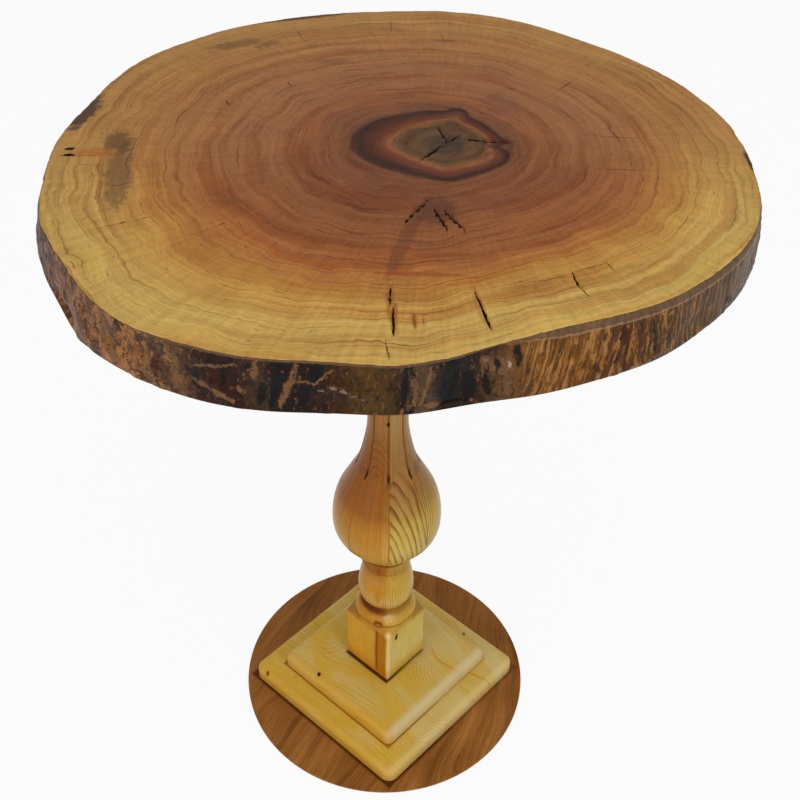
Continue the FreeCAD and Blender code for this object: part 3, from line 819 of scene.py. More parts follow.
@dataclass(frozen=True)
class Pine:
    """A clear varnished pine board: golden wood, orange late wood lines and small knots.

    The rings are flat-sawn layers: north plus a parabola of east, bowed by slow noise, over
    their spacing. Arcs are growth lines of their own. The end grain faces front right, and the
    pale band along that edge is its end grain with a painted reflection over it. The foot
    is half the side of the square that stands on the board, with a dark glue line and painted
    contact shadow round it, and it is below 0 where nothing does.
    """

    name: str
    golden: Colour = srgb(213, 173, 62)
    pale: Colour = srgb(210, 188, 119)
    late: Colour = srgb(203, 147, 43)
    # Pale end grain, with a painted reflection along the front right edge
    end: Colour = srgb(206, 189, 143)
    slope: float = 1.0
    curve: float = 0.003
    spacing: float = 7.5
    drift: float = 0.0
    half: float = 118.0
    end_grain_sheen_share: float = 0.3
    foot: float = 90.0
    joint_and_shadow: Colour = srgb(156, 101, 27)
    knots: tuple[Knot, ...] = ()
    arcs: tuple[Arcs, ...] = ()

    def build(self) -> bpy.types.Material:
        """Return the material.

        Returns:
            The finished material.
        """
        recipe = Recipe.named(self.name)
        place = recipe.place()
        east, north, height = recipe.parts(place)
        bow = recipe.grain(east / 70, north / 70, self.drift, 1) - 0.5
        layer = north + east * (self.slope + east * self.curve) + bow * 26 + height * 0.3
        for knot in self.knots:
            layer = layer + knot.distance(recipe, place).rise(6, 0) * self.spacing
        phase = recipe.math("FRACT", layer / self.spacing)
        late = phase.window(0.30, 0.86, 0.90, 1)
        uneven = recipe.grain(layer / 16, east / 90, self.drift, 2)
        fibre = recipe.grain(layer / 1.5, east / 30, height / 2, 3, 0.6) - 0.5
        cloud = recipe.grain(layer / 42, east / 55, self.drift + 4, 3, 0.6)
        colour = recipe.mixed((cloud.rise(0.40, 0.64) * 0.6 + east.rise(-10, 70) * 0.4).up_to(1),
                              self.golden, self.pale)
        colour = recipe.mixed(late * uneven.rise(0.34, 0.66) * 0.42, colour, self.late)
        flat = recipe.warped(recipe.vector("MULTIPLY", place, (1, 1, 0)), 24, 4)
        for arc in self.arcs:
            colour = recipe.mixed(arc.mask(recipe, flat), colour, self.late)
        colour = recipe.shaded(colour, 1 + (cloud - 0.5) * 0.14 + fibre * 0.18)
        cross = recipe.grain((east + north) / 1.7, height / 30, self.drift, 2, 0.6)
        left, front = (east + north) * HALF_ROOT, (east - north) * HALF_ROOT
        # Pale end grain along the front right edge, with a painted reflection in it.
        rim = front.rise(self.half - 12, self.half - 5) * self.end_grain_sheen_share
        colour = recipe.mixed(rim * (cross + 0.5).up_to(1), colour, self.end)
        # Painted shade: the left front rounding is darker orange, where less light falls.
        low = left.rise(16 - self.half, 2 - self.half)
        colour = recipe.mixed(low * 0.55, colour, self.late)
        # Dark glue line round the piece above, with painted contact shadow, darker on the left.
        beside = abs(left).at_least(abs(front)) - self.foot + (cloud - 0.5) * 1.6
        joint_and_shadow = beside.rise(2.6, 0.8) * (0.34 + 0.58 * left.rise(10, -30))
        colour = recipe.mixed(joint_and_shadow, colour, self.joint_and_shadow)
        colour = recipe.knotted(colour, place, self.knots)
        rough = 0.30 + fibre * 0.12 + (cloud - 0.5) * 0.12
        return recipe.finish(colour, rough, late * 0.4 + fibre * 0.5 + 0.25, 0.0002,
                             Specular_IOR_Level=0.12)


# Knots and growth lines of the two boards
UPPER_KNOTS = knots(
    (-83.4, -33.5, 45, 4.6, 6, 8, 209, 146, 48, 0.6),
    (-83.4, -33.5, 45, 2.5, 3.3, 6, 27, 4, 4, 1),
)
LOWER_KNOTS = knots(
    (-149, -13.5, 22, 2.6, 3.4, 5, 104, 54, 5, 0.9),
    (-113.7, -21.7, 25, 2.8, 3.6, 5, 214, 142, 37, 0.7),
    (104.3, 40, 25, 2.4, 3, 5, 108, 72, 20, 0.85),
)
UPPER_ARCS = (
    Arcs((104.1, 11.5), 45.7, 400, (80, -22), 46, 2.4, 0.85),
    Arcs((79.4, -31.4), 40.8, 4.6, (47, -46), 30, 1.5, 0.5),
    Arcs((-72.4, 29.3), 15.9, 7, (-68, 6), 24, 1.8, 0.5),
)
LOWER_ARCS = (
    Arcs((205.6, 132), 183.6, 400, (121, -29), 46, 2.6, 0.9),
    Arcs((64.3, -74.6), 16.6, 4.6, (62, -104), 26, 1.5, 0.5),
    Arcs((39.6, -106.4), 10.6, 4.4, (38, -128), 24, 1.4, 0.45),
)

# Knots and stains of the column
COLUMN_KNOTS = knots(
    (-0.5, -21, 449, 2.2, 3, 3.4, 61, 27, 4, 0.95),
    (-10.5, -34.5, 140.5, 7, 6, 6, 133, 61, 4, 1),
    (-10.5, -35.5, 138.6, 4.2, 6, 3.2, 191, 124, 36, 0.9),
    (11.8, -36.3, 118, 2.6, 3.4, 5.8, 76, 39, 4, 1),
    (13, -36.3, 120.6, 1.9, 3, 3.4, 116, 71, 10, 0.9),
    (-11, -30.9, 184, 3.6, 4, 11, 181, 109, 4, 0.6),
    (-9.9, -29.9, 197, 5, 5, 5, 191, 126, 10, 0.6),
    (32, -13, 380, 7, 9, 8, 112, 86, 58, 0.75),
    (-30, -18, 383, 9, 9, 7, 119, 71, 30, 0.6),
    (0.5, -37, 374, 4, 4, 5, 119, 78, 39, 0.6),
    (-9.5, -27, 226, 3.2, 4, 9, 142, 67, 4, 0.7),
)

# Painted highlights on the shoulder's roll and on its front slope
PAINTED_HIGHLIGHTS = knots(
    (2, -31, 148, 9, 9, 4.6, 244, 226, 186, 0.65),
    (1.5, -43.5, 129.5, 4.2, 6, 4, 252, 227, 165, 0.9),
    (7, -40, 133.5, 8, 4, 2.4, 227, 170, 71, 0.5),
)


@dataclass(frozen=True)
class TurnedPine:
    """The column's varnished pine: staves glued side by side, each with its own grain.

    Rows of the wood hold a height in millimetres, and the colours of the left and right sides.
    """

    wood: Rows = (
        (45, 213, 149, 43, 214, 180, 78), (80, 211, 157, 51, 211, 191, 114),
        (122, 208, 157, 57, 206, 179, 90), (134, 186, 129, 46, 189, 141, 53),
        (141, 202, 140, 40, 203, 162, 63), (149, 193, 130, 37, 192, 152, 58),
        # The row at 154 mm is darker: painted shade in the groove under the lower bead.
        (154, 151, 87, 5, 175, 130, 46), (159, 171, 113, 34, 184, 141, 55),
        (166, 191, 141, 66, 195, 167, 90), (177, 197, 156, 81, 199, 167, 87),
        (192, 193, 136, 42, 198, 159, 61), (207, 190, 137, 55, 198, 156, 66),
        (217, 173, 116, 41, 181, 142, 55), (222, 162, 100, 29, 174, 136, 50),
        (234, 158, 98, 29, 173, 136, 53), (240, 175, 124, 52, 183, 150, 66),
        (256, 191, 148, 73, 196, 169, 99), (275, 192, 146, 61, 195, 166, 87),
        (295, 191, 138, 48, 198, 172, 90), (318, 184, 127, 41, 198, 167, 80),
        (331, 174, 116, 40, 193, 162, 76), (340, 157, 97, 34, 178, 142, 66),
        (360, 152, 90, 31, 165, 121, 58), (376, 150, 90, 31, 163, 117, 56),
        (392, 144, 86, 34, 156, 113, 59), (412, 145, 90, 37, 156, 118, 64),
        (440, 155, 107, 53, 165, 128, 74), (480, 164, 115, 61, 169, 133, 82),
    )
    tallest: float = 710.0
    panel: float = 45.0

    def build(self) -> bpy.types.Material:
        """Return the material.

        The turn is the angle round the column from the front. Each panel between two grooves
        has a ring number of its own, and the dark late wood is a ramp on its fraction.

        Returns:
            The finished material.
        """
        recipe = Recipe.named("turned_pine")
        place = recipe.place()
        east, north, height = recipe.parts(place)
        turn = recipe.math("ARCTAN2", east, 0 - north) * math.degrees(1)
        far = recipe.math("SQRT", east * east + north * north)
        sway = recipe.noise(place, (22, 22, 60), 2) - 0.5
        cloud = recipe.noise(place, 20, 3) - 0.5
        fibre = recipe.noise(place, (0.8, 0.8, 30), 3, 0.6) - 0.5
        share = (height + cloud * 10) / self.tallest
        rows = [(row[0] / self.tallest, *row[1:]) for row in self.wood]
        colours = [recipe.palette(share, rows, first) for first in (1, 4)]
        colour = recipe.mixed((turn + cloud * 14).rise(-9, 7), colours[0], colours[1])
        rings, strength = self._rings(recipe, east + sway * 4, height, turn + sway * 4)
        phase = recipe.math("FRACT", rings + sway * 0.6)
        uneven = recipe.grain(rings * 0.7, height / 45, 0, 2)
        late = phase.window(0.42, 0.90, 0.94, 1) * (uneven.rise(0.22, 0.62) * 0.85 + 0.15)
        colour = recipe.mixed((late * strength).up_to(1), colour, srgb(176, 134, 90), "MULTIPLY")
        streak = recipe.grain(turn / 4.2, height / 110, 0, 3, 0.6) - 0.5
        left = turn.rise(2, -2) * height.rise(240, 262)
        tone = 1 + fibre * 0.16 + cloud * 0.16 + streak * (0.24 + left * 0.55)
        colour = recipe.shaded(colour, tone)
        panel = recipe.math("FRACT", turn / self.panel + 0.5)
        seam = abs(panel - 0.5) * far * math.radians(self.panel)
        colour = self._grooves(recipe, colour, seam, height, cloud)
        colour = recipe.knotted(colour, place, COLUMN_KNOTS)
        colour = self._block(recipe, colour, east, north, height, sway)
        dapple = recipe.noise(place, (2.2, 2.2, 1.6), 3, 0.6).rise(0.40, 0.60)
        # Dappled painted highlights on the roll and the front slope.
        for knot in PAINTED_HIGHLIGHTS:
            soft = knot.distance(recipe, place).rise(1.3, 0.1) * dapple * knot.strength
            colour = recipe.mixed(soft, colour, knot.colour)
        rough = 0.26 + fibre * 0.10 + cloud * 0.10
        return recipe.finish(colour, rough, late * 0.5 + fibre * 0.5 + 0.25, 0.0002,
                             Specular_IOR_Level=0.10)

    @staticmethod
    def _rings(recipe: Recipe, east: Wire, height: Wire, turn: Wire) -> tuple[Wire, Wire]:
        """Return the ring number of each panel, and how strongly its rings show.

        Ovals give arches and sweeping lines, the turn gives lines that follow the form, and the
        place across gives upright ones.

        Args:
            recipe: The material.
            east: The place across, in millimetres.
            height: The height, in millimetres.
            turn: The angle from the front, in degrees.

        Returns:
            The ring number and the strength.
        """
        def oval(across: Wire, up: Wire, spacing: float) -> Wire:
            """Return the number of the ring at this place: its distance over the spacing."""
            return recipe.math("SQRT", across * across + up * up) / spacing

        def choose(first: Number, second: Number, share: Wire) -> Wire:
            """Return the first number where the share is 0, and the second where it is 1."""
            return (1 - share) * first + share * second

        side = turn.rise(-0.6, 0.6)
        far_right = turn.rise(44, 46) * height.rise(262, 300)
        sweep = choose(oval(east + 12, (height - 260) / 2.48, 5.7), (turn - height * 0.22) / 3.6,
                       far_right)
        bulb = choose(turn / 3.1, sweep, side)
        arches = oval(east + 12.5, (height - 368) / 3.3, 2.9)
        neck = choose(east / 2.5, arches, turn.window(0.3, -0.3, -44, -46) * height.rise(436, 424))
        border = 374 + east.at_least(0) * 1.3 - east.up_to(0) * 0.3
        above = (height - border).rise(-0.8, 0.8)
        bead = oval(east + 10, (height - 196).at_least(0) / 1.2, 2.9)
        bead = choose(bead, (east + (height - 176) * 0.09) / 2.6, east.rise(9, 10.5))
        low = choose(east / 2.3, bead, height.rise(153, 157))
        turned = height.rise(221, 236)
        rings = choose(low, choose(bulb, neck, above), turned)
        on_bulb = choose(0.30, 0.92, side * height.rise(240, 262))
        on_bead = 0.16 + 0.42 * abs(east - 1).rise(23, 8)
        strength = choose(choose(0.26, on_bead, height.rise(153, 157)),
                          choose(on_bulb, 0.42, above), turned)
        return rings, strength

    @staticmethod
    def _grooves(recipe: Recipe, colour: Wire, seam: Wire, height: Wire, cloud: Wire) -> Wire:
        """Add the orange carved lines, painted shade along their bottoms and in their deep tips,
        and the glue lines below them.

        Args:
            recipe: The material.
            colour: The colour so far.
            seam: Distance from the nearest groove's line, in millimetres.
            height: The height, in millimetres.
            cloud: Noise that varies the lines.

        Returns:
            The colour with the lines.
        """
        carved = height.window(372, 380, 524, 534)
        glued = height.window(238, 246, 374, 384)
        wide = seam + cloud * 1.6
        nick_shade = height.window(372, 376, 380, 389)
        return recipe.layered(
            colour,
            (wide.rise(2.1, 0.9) * carved * 0.72, srgb(149, 91, 32)),
            # Painted shade: a dark line along each groove's bottom.
            (wide.rise(0.8, 0.1) * carved * 0.25, srgb(104, 60, 11)),
            (wide.rise(1.5, 0.3) * glued * (0.62 + cloud), srgb(151, 87, 11)),
            # Painted shade in the deep nicks where the grooves start.
            (seam.rise(2.1, 1) * nick_shade * 0.85, srgb(55, 26, 4)),
        )

    @staticmethod
    def _block(recipe: Recipe, colour: Wire, east: Wire, north: Wire, height: Wire,
               sway: Wire) -> Wire:
        """Add the foot block's stained stave, its crack, a painted highlight by its front arris,
        end grain, painted shade in the creases and the groove, and a dark foot of glue and painted
        shadow.

        Args:
            recipe: The material.
            colour: The colour so far.
            east: The place across, in millimetres.
            north: The place along Y, in millimetres.
            height: The height, in millimetres.
            sway: Noise that bends the lines.

        Returns:
            The colour with the block's marks.
        """
        front = north.rise(-20, -24)
        line = east + sway * 2.4
        below = height.rise(134, 126) * front
        streak = recipe.grain(east / 1.1, north / 1.1, height / 34, 3, 0.6)
        stave = line.window(-12.8, -11.6, -2.4, 0.4) * below
        wide = 0.7 + recipe.grain(0, 3, height / 9, 2) * 2.2
        crack = abs(line + 12.3).rise(wide, wide * 0.2) * below * height.rise(50, 62)
        stain = abs(line + 12.8).rise(4.5, 0.6) * below * (0.20 + sway)
        # Painted highlight: a pale strip just right of the front arris.
        worn = line.window(-0.4, 1.2, 3.2, 6.4) * below
        cut = height.window(126.6, 127.6, 136.2, 137.2)
        cut = cut * recipe.math("SQRT", east * east + north * north).rise(35, 35.6)
        cut = cut * abs(east).rise(15, 24)
        # Painted shade in the creases at the roll's lower edge and at both edges of the ring.
        crease_shade = (abs(height - 136.7).rise(1.7, 0.4) * 0.95 + abs(height - 219.8).rise(1.6, 0.4)
                  + abs(height - 235.7).rise(2.2, 0.6)) * 0.72
        # Painted shadow in the groove under the lower bead, stronger on the left.
        hollow = abs(height - 155).rise(5, 2.2) * (0.30 + 0.62 * east.rise(6, -14))
        # Darker orange towards the block's foot.
        toward_foot = height.rise(72, 47) * (0.42 + sway * 1.2)
        # Painted shadow in the gap under the block, with dark glue, reaching higher on the left.
        edge = height - sway * 2
        gap = edge.rise(52.5, 49.5) * east.rise(2, -2) + edge.rise(50.2, 47.6)
        return recipe.layered(
            colour,
            (stave * (0.45 + streak * 0.75).up_to(1), srgb(170, 98, 4)),
            (crack * 0.8, srgb(94, 46, 4)),
            (stain, srgb(151, 82, 4)),
            (worn * (0.45 + streak * 0.6).up_to(1), srgb(228, 209, 143)),
            (cut * 0.55, srgb(149, 104, 29)),
            (crease_shade, srgb(127, 77, 4)),
            (hollow, srgb(104, 51, 4)),
            (toward_foot, srgb(167, 94, 4)),
            (gap.up_to(1) * 0.95, srgb(48, 22, 4)),
        )


@dataclass(frozen=True)
class DarkBoard:
    """The round base board: stained oak whose grain turns a little from left to right.

    The foot is half the side of the square that stands on it, which has a dark glue line and
    painted contact shadow round it, darker on the left.
    """

    light: Colour = srgb(179, 120, 59)
    middle: Colour = srgb(149, 95, 40)
    dark: Colour = srgb(108, 64, 18)
    left_turn: float = 60.0
    right_turn: float = 76.0
    foot: float = 118.0

    def build(self) -> bpy.types.Material:
        """Return the material.

        The figure is layers across the grain, bowed by slow noise along it into long arches.
        Pores are short dark dashes along it.

        Returns:
            The finished material.
        """
        recipe = Recipe.named("stained_oak")
        place = recipe.place()
        east, north, up = recipe.parts(place)
        side = east.rise(-90, 110)
        along, across = None, None
        for turn, share in ((self.left_turn, 1 - side), (self.right_turn, side)):
            cosine, sine = math.cos(math.radians(turn)), math.sin(math.radians(turn))
            here = recipe.number("DOT_PRODUCT", place, (cosine, sine, 0)) * share
            beside = recipe.number("DOT_PRODUCT", place, (-sine, cosine, 0)) * share
            along = here if along is None else along + here
            across = beside if across is None else across + beside
        bow = recipe.grain(along / 150, across / 70, 3.4, 1) - 0.5
        layer = across + bow * 64
        band = recipe.grain(layer / 13, along / 300, 0, 3, 0.6)
        fine = recipe.grain(layer / 2.6, along / 130, 0, 3, 0.65)
        hair = recipe.grain(across / 0.9, along / 40, 0, 2, 0.6)
        pores = recipe.grain(across / 0.55, along / 9, 0, 2, 0.6)
        cloud = recipe.noise(place, 80, 2) - 0.5
        value = band * 0.7 + fine * 0.5 + hair * 0.3 - 0.25 + cloud * 0.5
        colour = recipe.ramp(value, ((0.26, self.dark), (0.5, self.middle), (0.74, self.light)))
        colour = recipe.mixed(pores.rise(0.60, 0.70) * 0.4, colour, srgb(89, 48, 4))
        # Dark glue line round the board above, with painted contact shadow, darker on the left.
        beside = abs(east + north).at_least(abs(east - north)) * HALF_ROOT - self.foot + cloud * 2
        joint_and_shadow = beside.rise(5, 1) * (0.45 + 0.45 * (east + north).rise(10, -30))
        colour = recipe.mixed(joint_and_shadow * up.rise(3.6, 4.6), colour, srgb(72, 34, 4))
        rough = 0.42 + (fine - 0.5) * 0.2
        height = fine * 0.4 + (1 - pores.rise(0.56, 0.68)) * 0.6
        return recipe.finish(colour, rough, height, 0.0003, Specular_IOR_Level=0.10)


@dataclass(frozen=True)
class ZincSteel:
    """Zinc plated steel of the screws and washers."""

    def build(self) -> bpy.types.Material:
        """Return the material: grey metal with cloudy brightness and fine turning lines.

        Returns:
            The finished material.
        """
        recipe = Recipe.named("zinc_plated_steel")
        place = recipe.place()
        cloud = recipe.noise(place, 1.8, 3)
        line = recipe.noise(place, (3, 3, 0.25), 1)
        colour = recipe.mixed(cloud, srgb(150, 152, 154), srgb(196, 194, 186))
        rough = 0.28 + (cloud - 0.5) * 0.25 + (line - 0.5) * 0.12
        return recipe.finish(colour, rough, line, 0.00005, Metallic=1)


def grid_mesh(name: str, points: np.ndarray,
              flat_map: np.ndarray | None = None) -> bpy.types.Object:
    """Make a closed mesh from rings of points.

    Each ring is joined to the next by quads, and the first and last rings are closed by a fan to
    their middle. Rings run anticlockwise from above and the list climbs the outside, so faces
    point outwards.

    Args:
        name: The piece's name.
        points: Rings by columns by three, in metres.
        flat_map: Rings by columns and one by two, for the map named edge.

    Returns:
        The new object.
    """
    rings, columns = points.shape[:2]
    index = np.arange(rings * columns).reshape(rings, columns)
    after = np.roll(index, -1, axis=1)
    quads = np.stack([index[:-1], after[:-1], after[1:], index[1:]], -1).reshape(-1)
    low, high = rings * columns, rings * columns + 1
    first = np.stack([after[0], index[0], np.full(columns, low)], -1).reshape(-1)
    last = np.stack([index[-1], after[-1], np.full(columns, high)], -1).reshape(-1)
    corners = np.concatenate([quads, first, last]).astype(np.int32)
    sizes = np.concatenate([np.full(len(quads) // 4, 4), np.full(2 * columns, 3)]).astype(np.int32)
    places = np.concatenate([points.reshape(-1, 3), points[0].mean(0)[None],
                             points[-1].mean(0)[None]])
    mesh = bpy.data.meshes.new(name)
    mesh.vertices.add(len(places))
    mesh.vertices.foreach_set("co", places.astype(np.float32).ravel())
    mesh.loops.add(len(corners))
    mesh.loops.foreach_set("vertex_index", corners)
    mesh.polygons.add(len(sizes))
    starts = np.concatenate([[0], np.cumsum(sizes)[:-1]]).astype(np.int32)
    mesh.polygons.foreach_set("loop_start", starts)
    mesh.polygons.foreach_set("loop_total", sizes)
    mesh.polygons.foreach_set("use_smooth", np.ones(len(sizes), bool))
    mesh.update(calc_edges=True)
    if flat_map is not None:
        set_flat_map(mesh, flat_map)
    piece = bpy.data.objects.new(name, mesh)
    bpy.context.scene.collection.objects.link(piece)
    return piece


def set_flat_map(mesh: bpy.types.Mesh, flat_map: np.ndarray) -> None:
    """Write the map named edge to the corners of a grid mesh.

    Args:
        mesh: The mesh that grid_mesh made.
        flat_map: Rings by columns and one by two.
    """
    quads = np.stack([flat_map[:-1, :-1], flat_map[:-1, 1:], flat_map[1:, 1:], flat_map[1:, :-1]],
                     2)
    first = np.stack([flat_map[0, 1:], flat_map[0, :-1], flat_map[0, :-1]], 1)
    last = np.stack([flat_map[-1, :-1], flat_map[-1, 1:], flat_map[-1, 1:]], 1)
    values = np.concatenate([quads.reshape(-1, 2), first.reshape(-1, 2), last.reshape(-1, 2)])
    layer = mesh.uv_layers.new(name="edge")
    layer.data.foreach_set("uv", values.astype(np.float32).ravel())


def set_number(piece: bpy.types.Object, name: str, values: np.ndarray) -> None:
    """Give each point of a grid mesh a number, with the middles of its fans last.

    Args:
        piece: The piece.
        name: The number's name.
        values: One value for each point.
    """
    layer = piece.data.attributes.new(name, "FLOAT", "POINT")
    layer.data.foreach_set("value", values.astype(np.float32).ravel())


class Lattice:
    """Smooth noise that repeats exactly: seeded random numbers on a lattice, eased between."""

    def __init__(self, seed: int, columns: int, rows: int) -> None:
        """Draw the lattice.

        Args:
            seed: Seed of the random numbers.
            columns: Cells round the first direction, which closes on itself.
            rows: Cells along the second direction.
        """
        self.table = np.random.default_rng(seed).random((columns, rows + 2))

    def at(self, turn: np.ndarray, drop: np.ndarray) -> np.ndarray:
        """Return the noise at shares of the two directions, from -1 to 1.

        Args:
            turn: Shares round the first direction.
            drop: Shares along the second direction.

        Returns:
            The noise at each place.
        """
        columns, rows = self.table.shape
        across = turn * columns
        down = np.clip(drop, 0, 1) * (rows - 2)
        left, top = np.floor(across).astype(int), np.floor(down).astype(int)
        ease_across, ease_down = across - left, down - top
        ease_across = ease_across * ease_across * (3 - 2 * ease_across)
        ease_down = ease_down * ease_down * (3 - 2 * ease_down)
        near, far = left % columns, (left + 1) % columns
        upper = self.table[near, top] * (1 - ease_across) + self.table[far, top] * ease_across
        below = top + 1
        lower = self.table[near, below] * (1 - ease_across) + self.table[far, below] * ease_across
        return 2 * (upper * (1 - ease_down) + lower * ease_down) - 1


def smooth_step(value: np.ndarray, start: float, end: float) -> np.ndarray:
    """Return a smooth step from 0 at the start to 1 at the end."""
    share = np.clip((value - start) / (end - start), 0, 1)
    return share * share * (3 - 2 * share)


@dataclass(frozen=True)
class Bump:
    """A lump or hollow of the natural edge.

    Place and half size are degrees round the slab and millimetres above the floor. The height
    is in millimetres, outwards where it is above 0.
    """

    turn: float
    level: float
    half_turn: float
    half_level: float
    height: float

    def at(self, degrees: np.ndarray, levels: np.ndarray) -> np.ndarray:
        """Return the bump's bell-shaped height in metres at each point.

        Args:
            degrees: Turns round the slab, in degrees.
            levels: Heights in metres.

        Returns:
            How far the bump stands out, in metres.
        """
        around = (degrees - self.turn + 180.0) % 360.0 - 180.0
        far = (around / self.half_turn) ** 2 + ((levels / MM - self.level) / self.half_level) ** 2
        return self.height * MM * np.exp(-far)


# The natural edge's lumps, scars and hollows: turn, level, their half sizes and the height
BUMPS = tuple(Bump(*row) for row in (
    (203, 716, 3, 9, -2.5), (211.5, 711, 5, 11, -6.5), (218.5, 711, 3, 8, 1),
    (227, 733, 5, 10, -2.6), (236.5, 726, 1.1, 12, -2.2), (239.5, 720, 1, 12, -2),
    (242.5, 716, 1, 10, -2.2), (247, 732, 2.2, 9, -2.4), (252, 725, 1.6, 14, -2),
    (254, 728, 0.7, 16, 1.6), (257.3, 730, 0.8, 12, 1.4), (260, 734, 0.55, 2.2, 2.4),
    (261.4, 731, 0.5, 2, 2.2), (262.7, 728, 0.55, 2.4, 2.4), (264.1, 725, 0.5, 2, 2),
    (269.2, 726, 0.9, 18, -2.6), (271, 731, 0.7, 2.8, 2.2), (272.6, 726, 0.8, 2.6, 2),
    (279, 728, 4, 16, -3), (276.8, 708, 2.6, 5, -4), (284.6, 735, 2, 6, 2.6),
    (285.8, 729, 1, 4, 2.2), (283.2, 742, 1.2, 3.5, 1.8), (287.4, 722, 1.2, 4.5, 1.8),
    (295, 727, 3, 20, -1.2), (305.5, 713.5, 0.7, 2.4, 3), (307.2, 712, 0.6, 2, 2.6),
    (302.2, 711, 0.9, 3, 2.4), (309, 715, 1.6, 3, 2), (304, 727, 1.2, 8, -1.8),
    (318, 722, 4, 14, -2), (336, 730, 5, 14, -1.8), (352, 718, 4, 10, -2),
    (14, 726, 5, 12, -2.2), (38, 722, 4, 14, -2.4), (61, 731, 4, 9, -2), (80, 718, 3, 9, -2.4),
    (104, 728, 5, 12, -2.4), (128, 719, 4, 10, -2.4), (149, 731, 3, 9, -2.2),
    (168, 722, 5, 14, -2), (184, 731, 3, 9, -2.2),
))

# The slab's rim radius and its swell lower down, as shares of the radius, every 10 degrees
RIM_SHARES = (
    1.032, 1.031, 1.023, 1.013, 1.002, 0.998, 1.009, 1.014, 1.001, 0.982, 0.979, 0.979,
    0.987, 0.986, 0.989, 0.977, 0.958, 0.962, 0.971, 0.980, 1.003, 1.006, 1.025, 1.042,
    1.026, 1.004, 0.979, 0.977, 0.942, 0.926, 0.942, 0.983, 1.013, 1.039, 1.047, 1.037,
)
SWELL_SHARES = (
    0.040, 0.030, 0.020, 0.016, 0.012, 0.010, 0.008, 0.010, 0.014, 0.012, 0.010, 0.010,
    0.014, 0.018, 0.016, 0.014, 0.018, 0.024, 0.030, 0.030, 0.018, 0.018, 0.020, 0.000,
    0.004, 0.000, -0.006, -0.011, 0.004, 0.032, 0.033, 0.020, 0.007, 0.003, 0.009, 0.030,
)


def closed_curve(values: Sequence[float], turns: np.ndarray) -> np.ndarray:
    """Evaluate the smooth closed curve through equally spaced values.

    It is a periodic cubic spline. Its second slopes come from the usual three-term equations,
    which a Fourier transform solves because they repeat round the circle.

    Args:
        values: The values, the first at angle 0.
        turns: Angles in radians.

    Returns:
        The curve's value at each angle.
    """
    known = np.asarray(values, float)
    count = len(known)
    bend = 6 * (np.roll(known, 1) - 2 * known + np.roll(known, -1))
    kernel = np.zeros(count)
    kernel[[0, 1, -1]] = 4.0, 1.0, 1.0
    slopes = np.fft.ifft(np.fft.fft(bend) / np.fft.fft(kernel)).real
    place = turns / math.tau * count
    near = np.floor(place).astype(int)
    share = place - near
    near, far = near % count, (near + 1) % count
    straight = known[near] * (1 - share) + known[far] * share
    early = ((1 - share) ** 3 - (1 - share)) * slopes[near]
    late = (share ** 3 - share) * slopes[far]
    return straight + (early + late) / 6


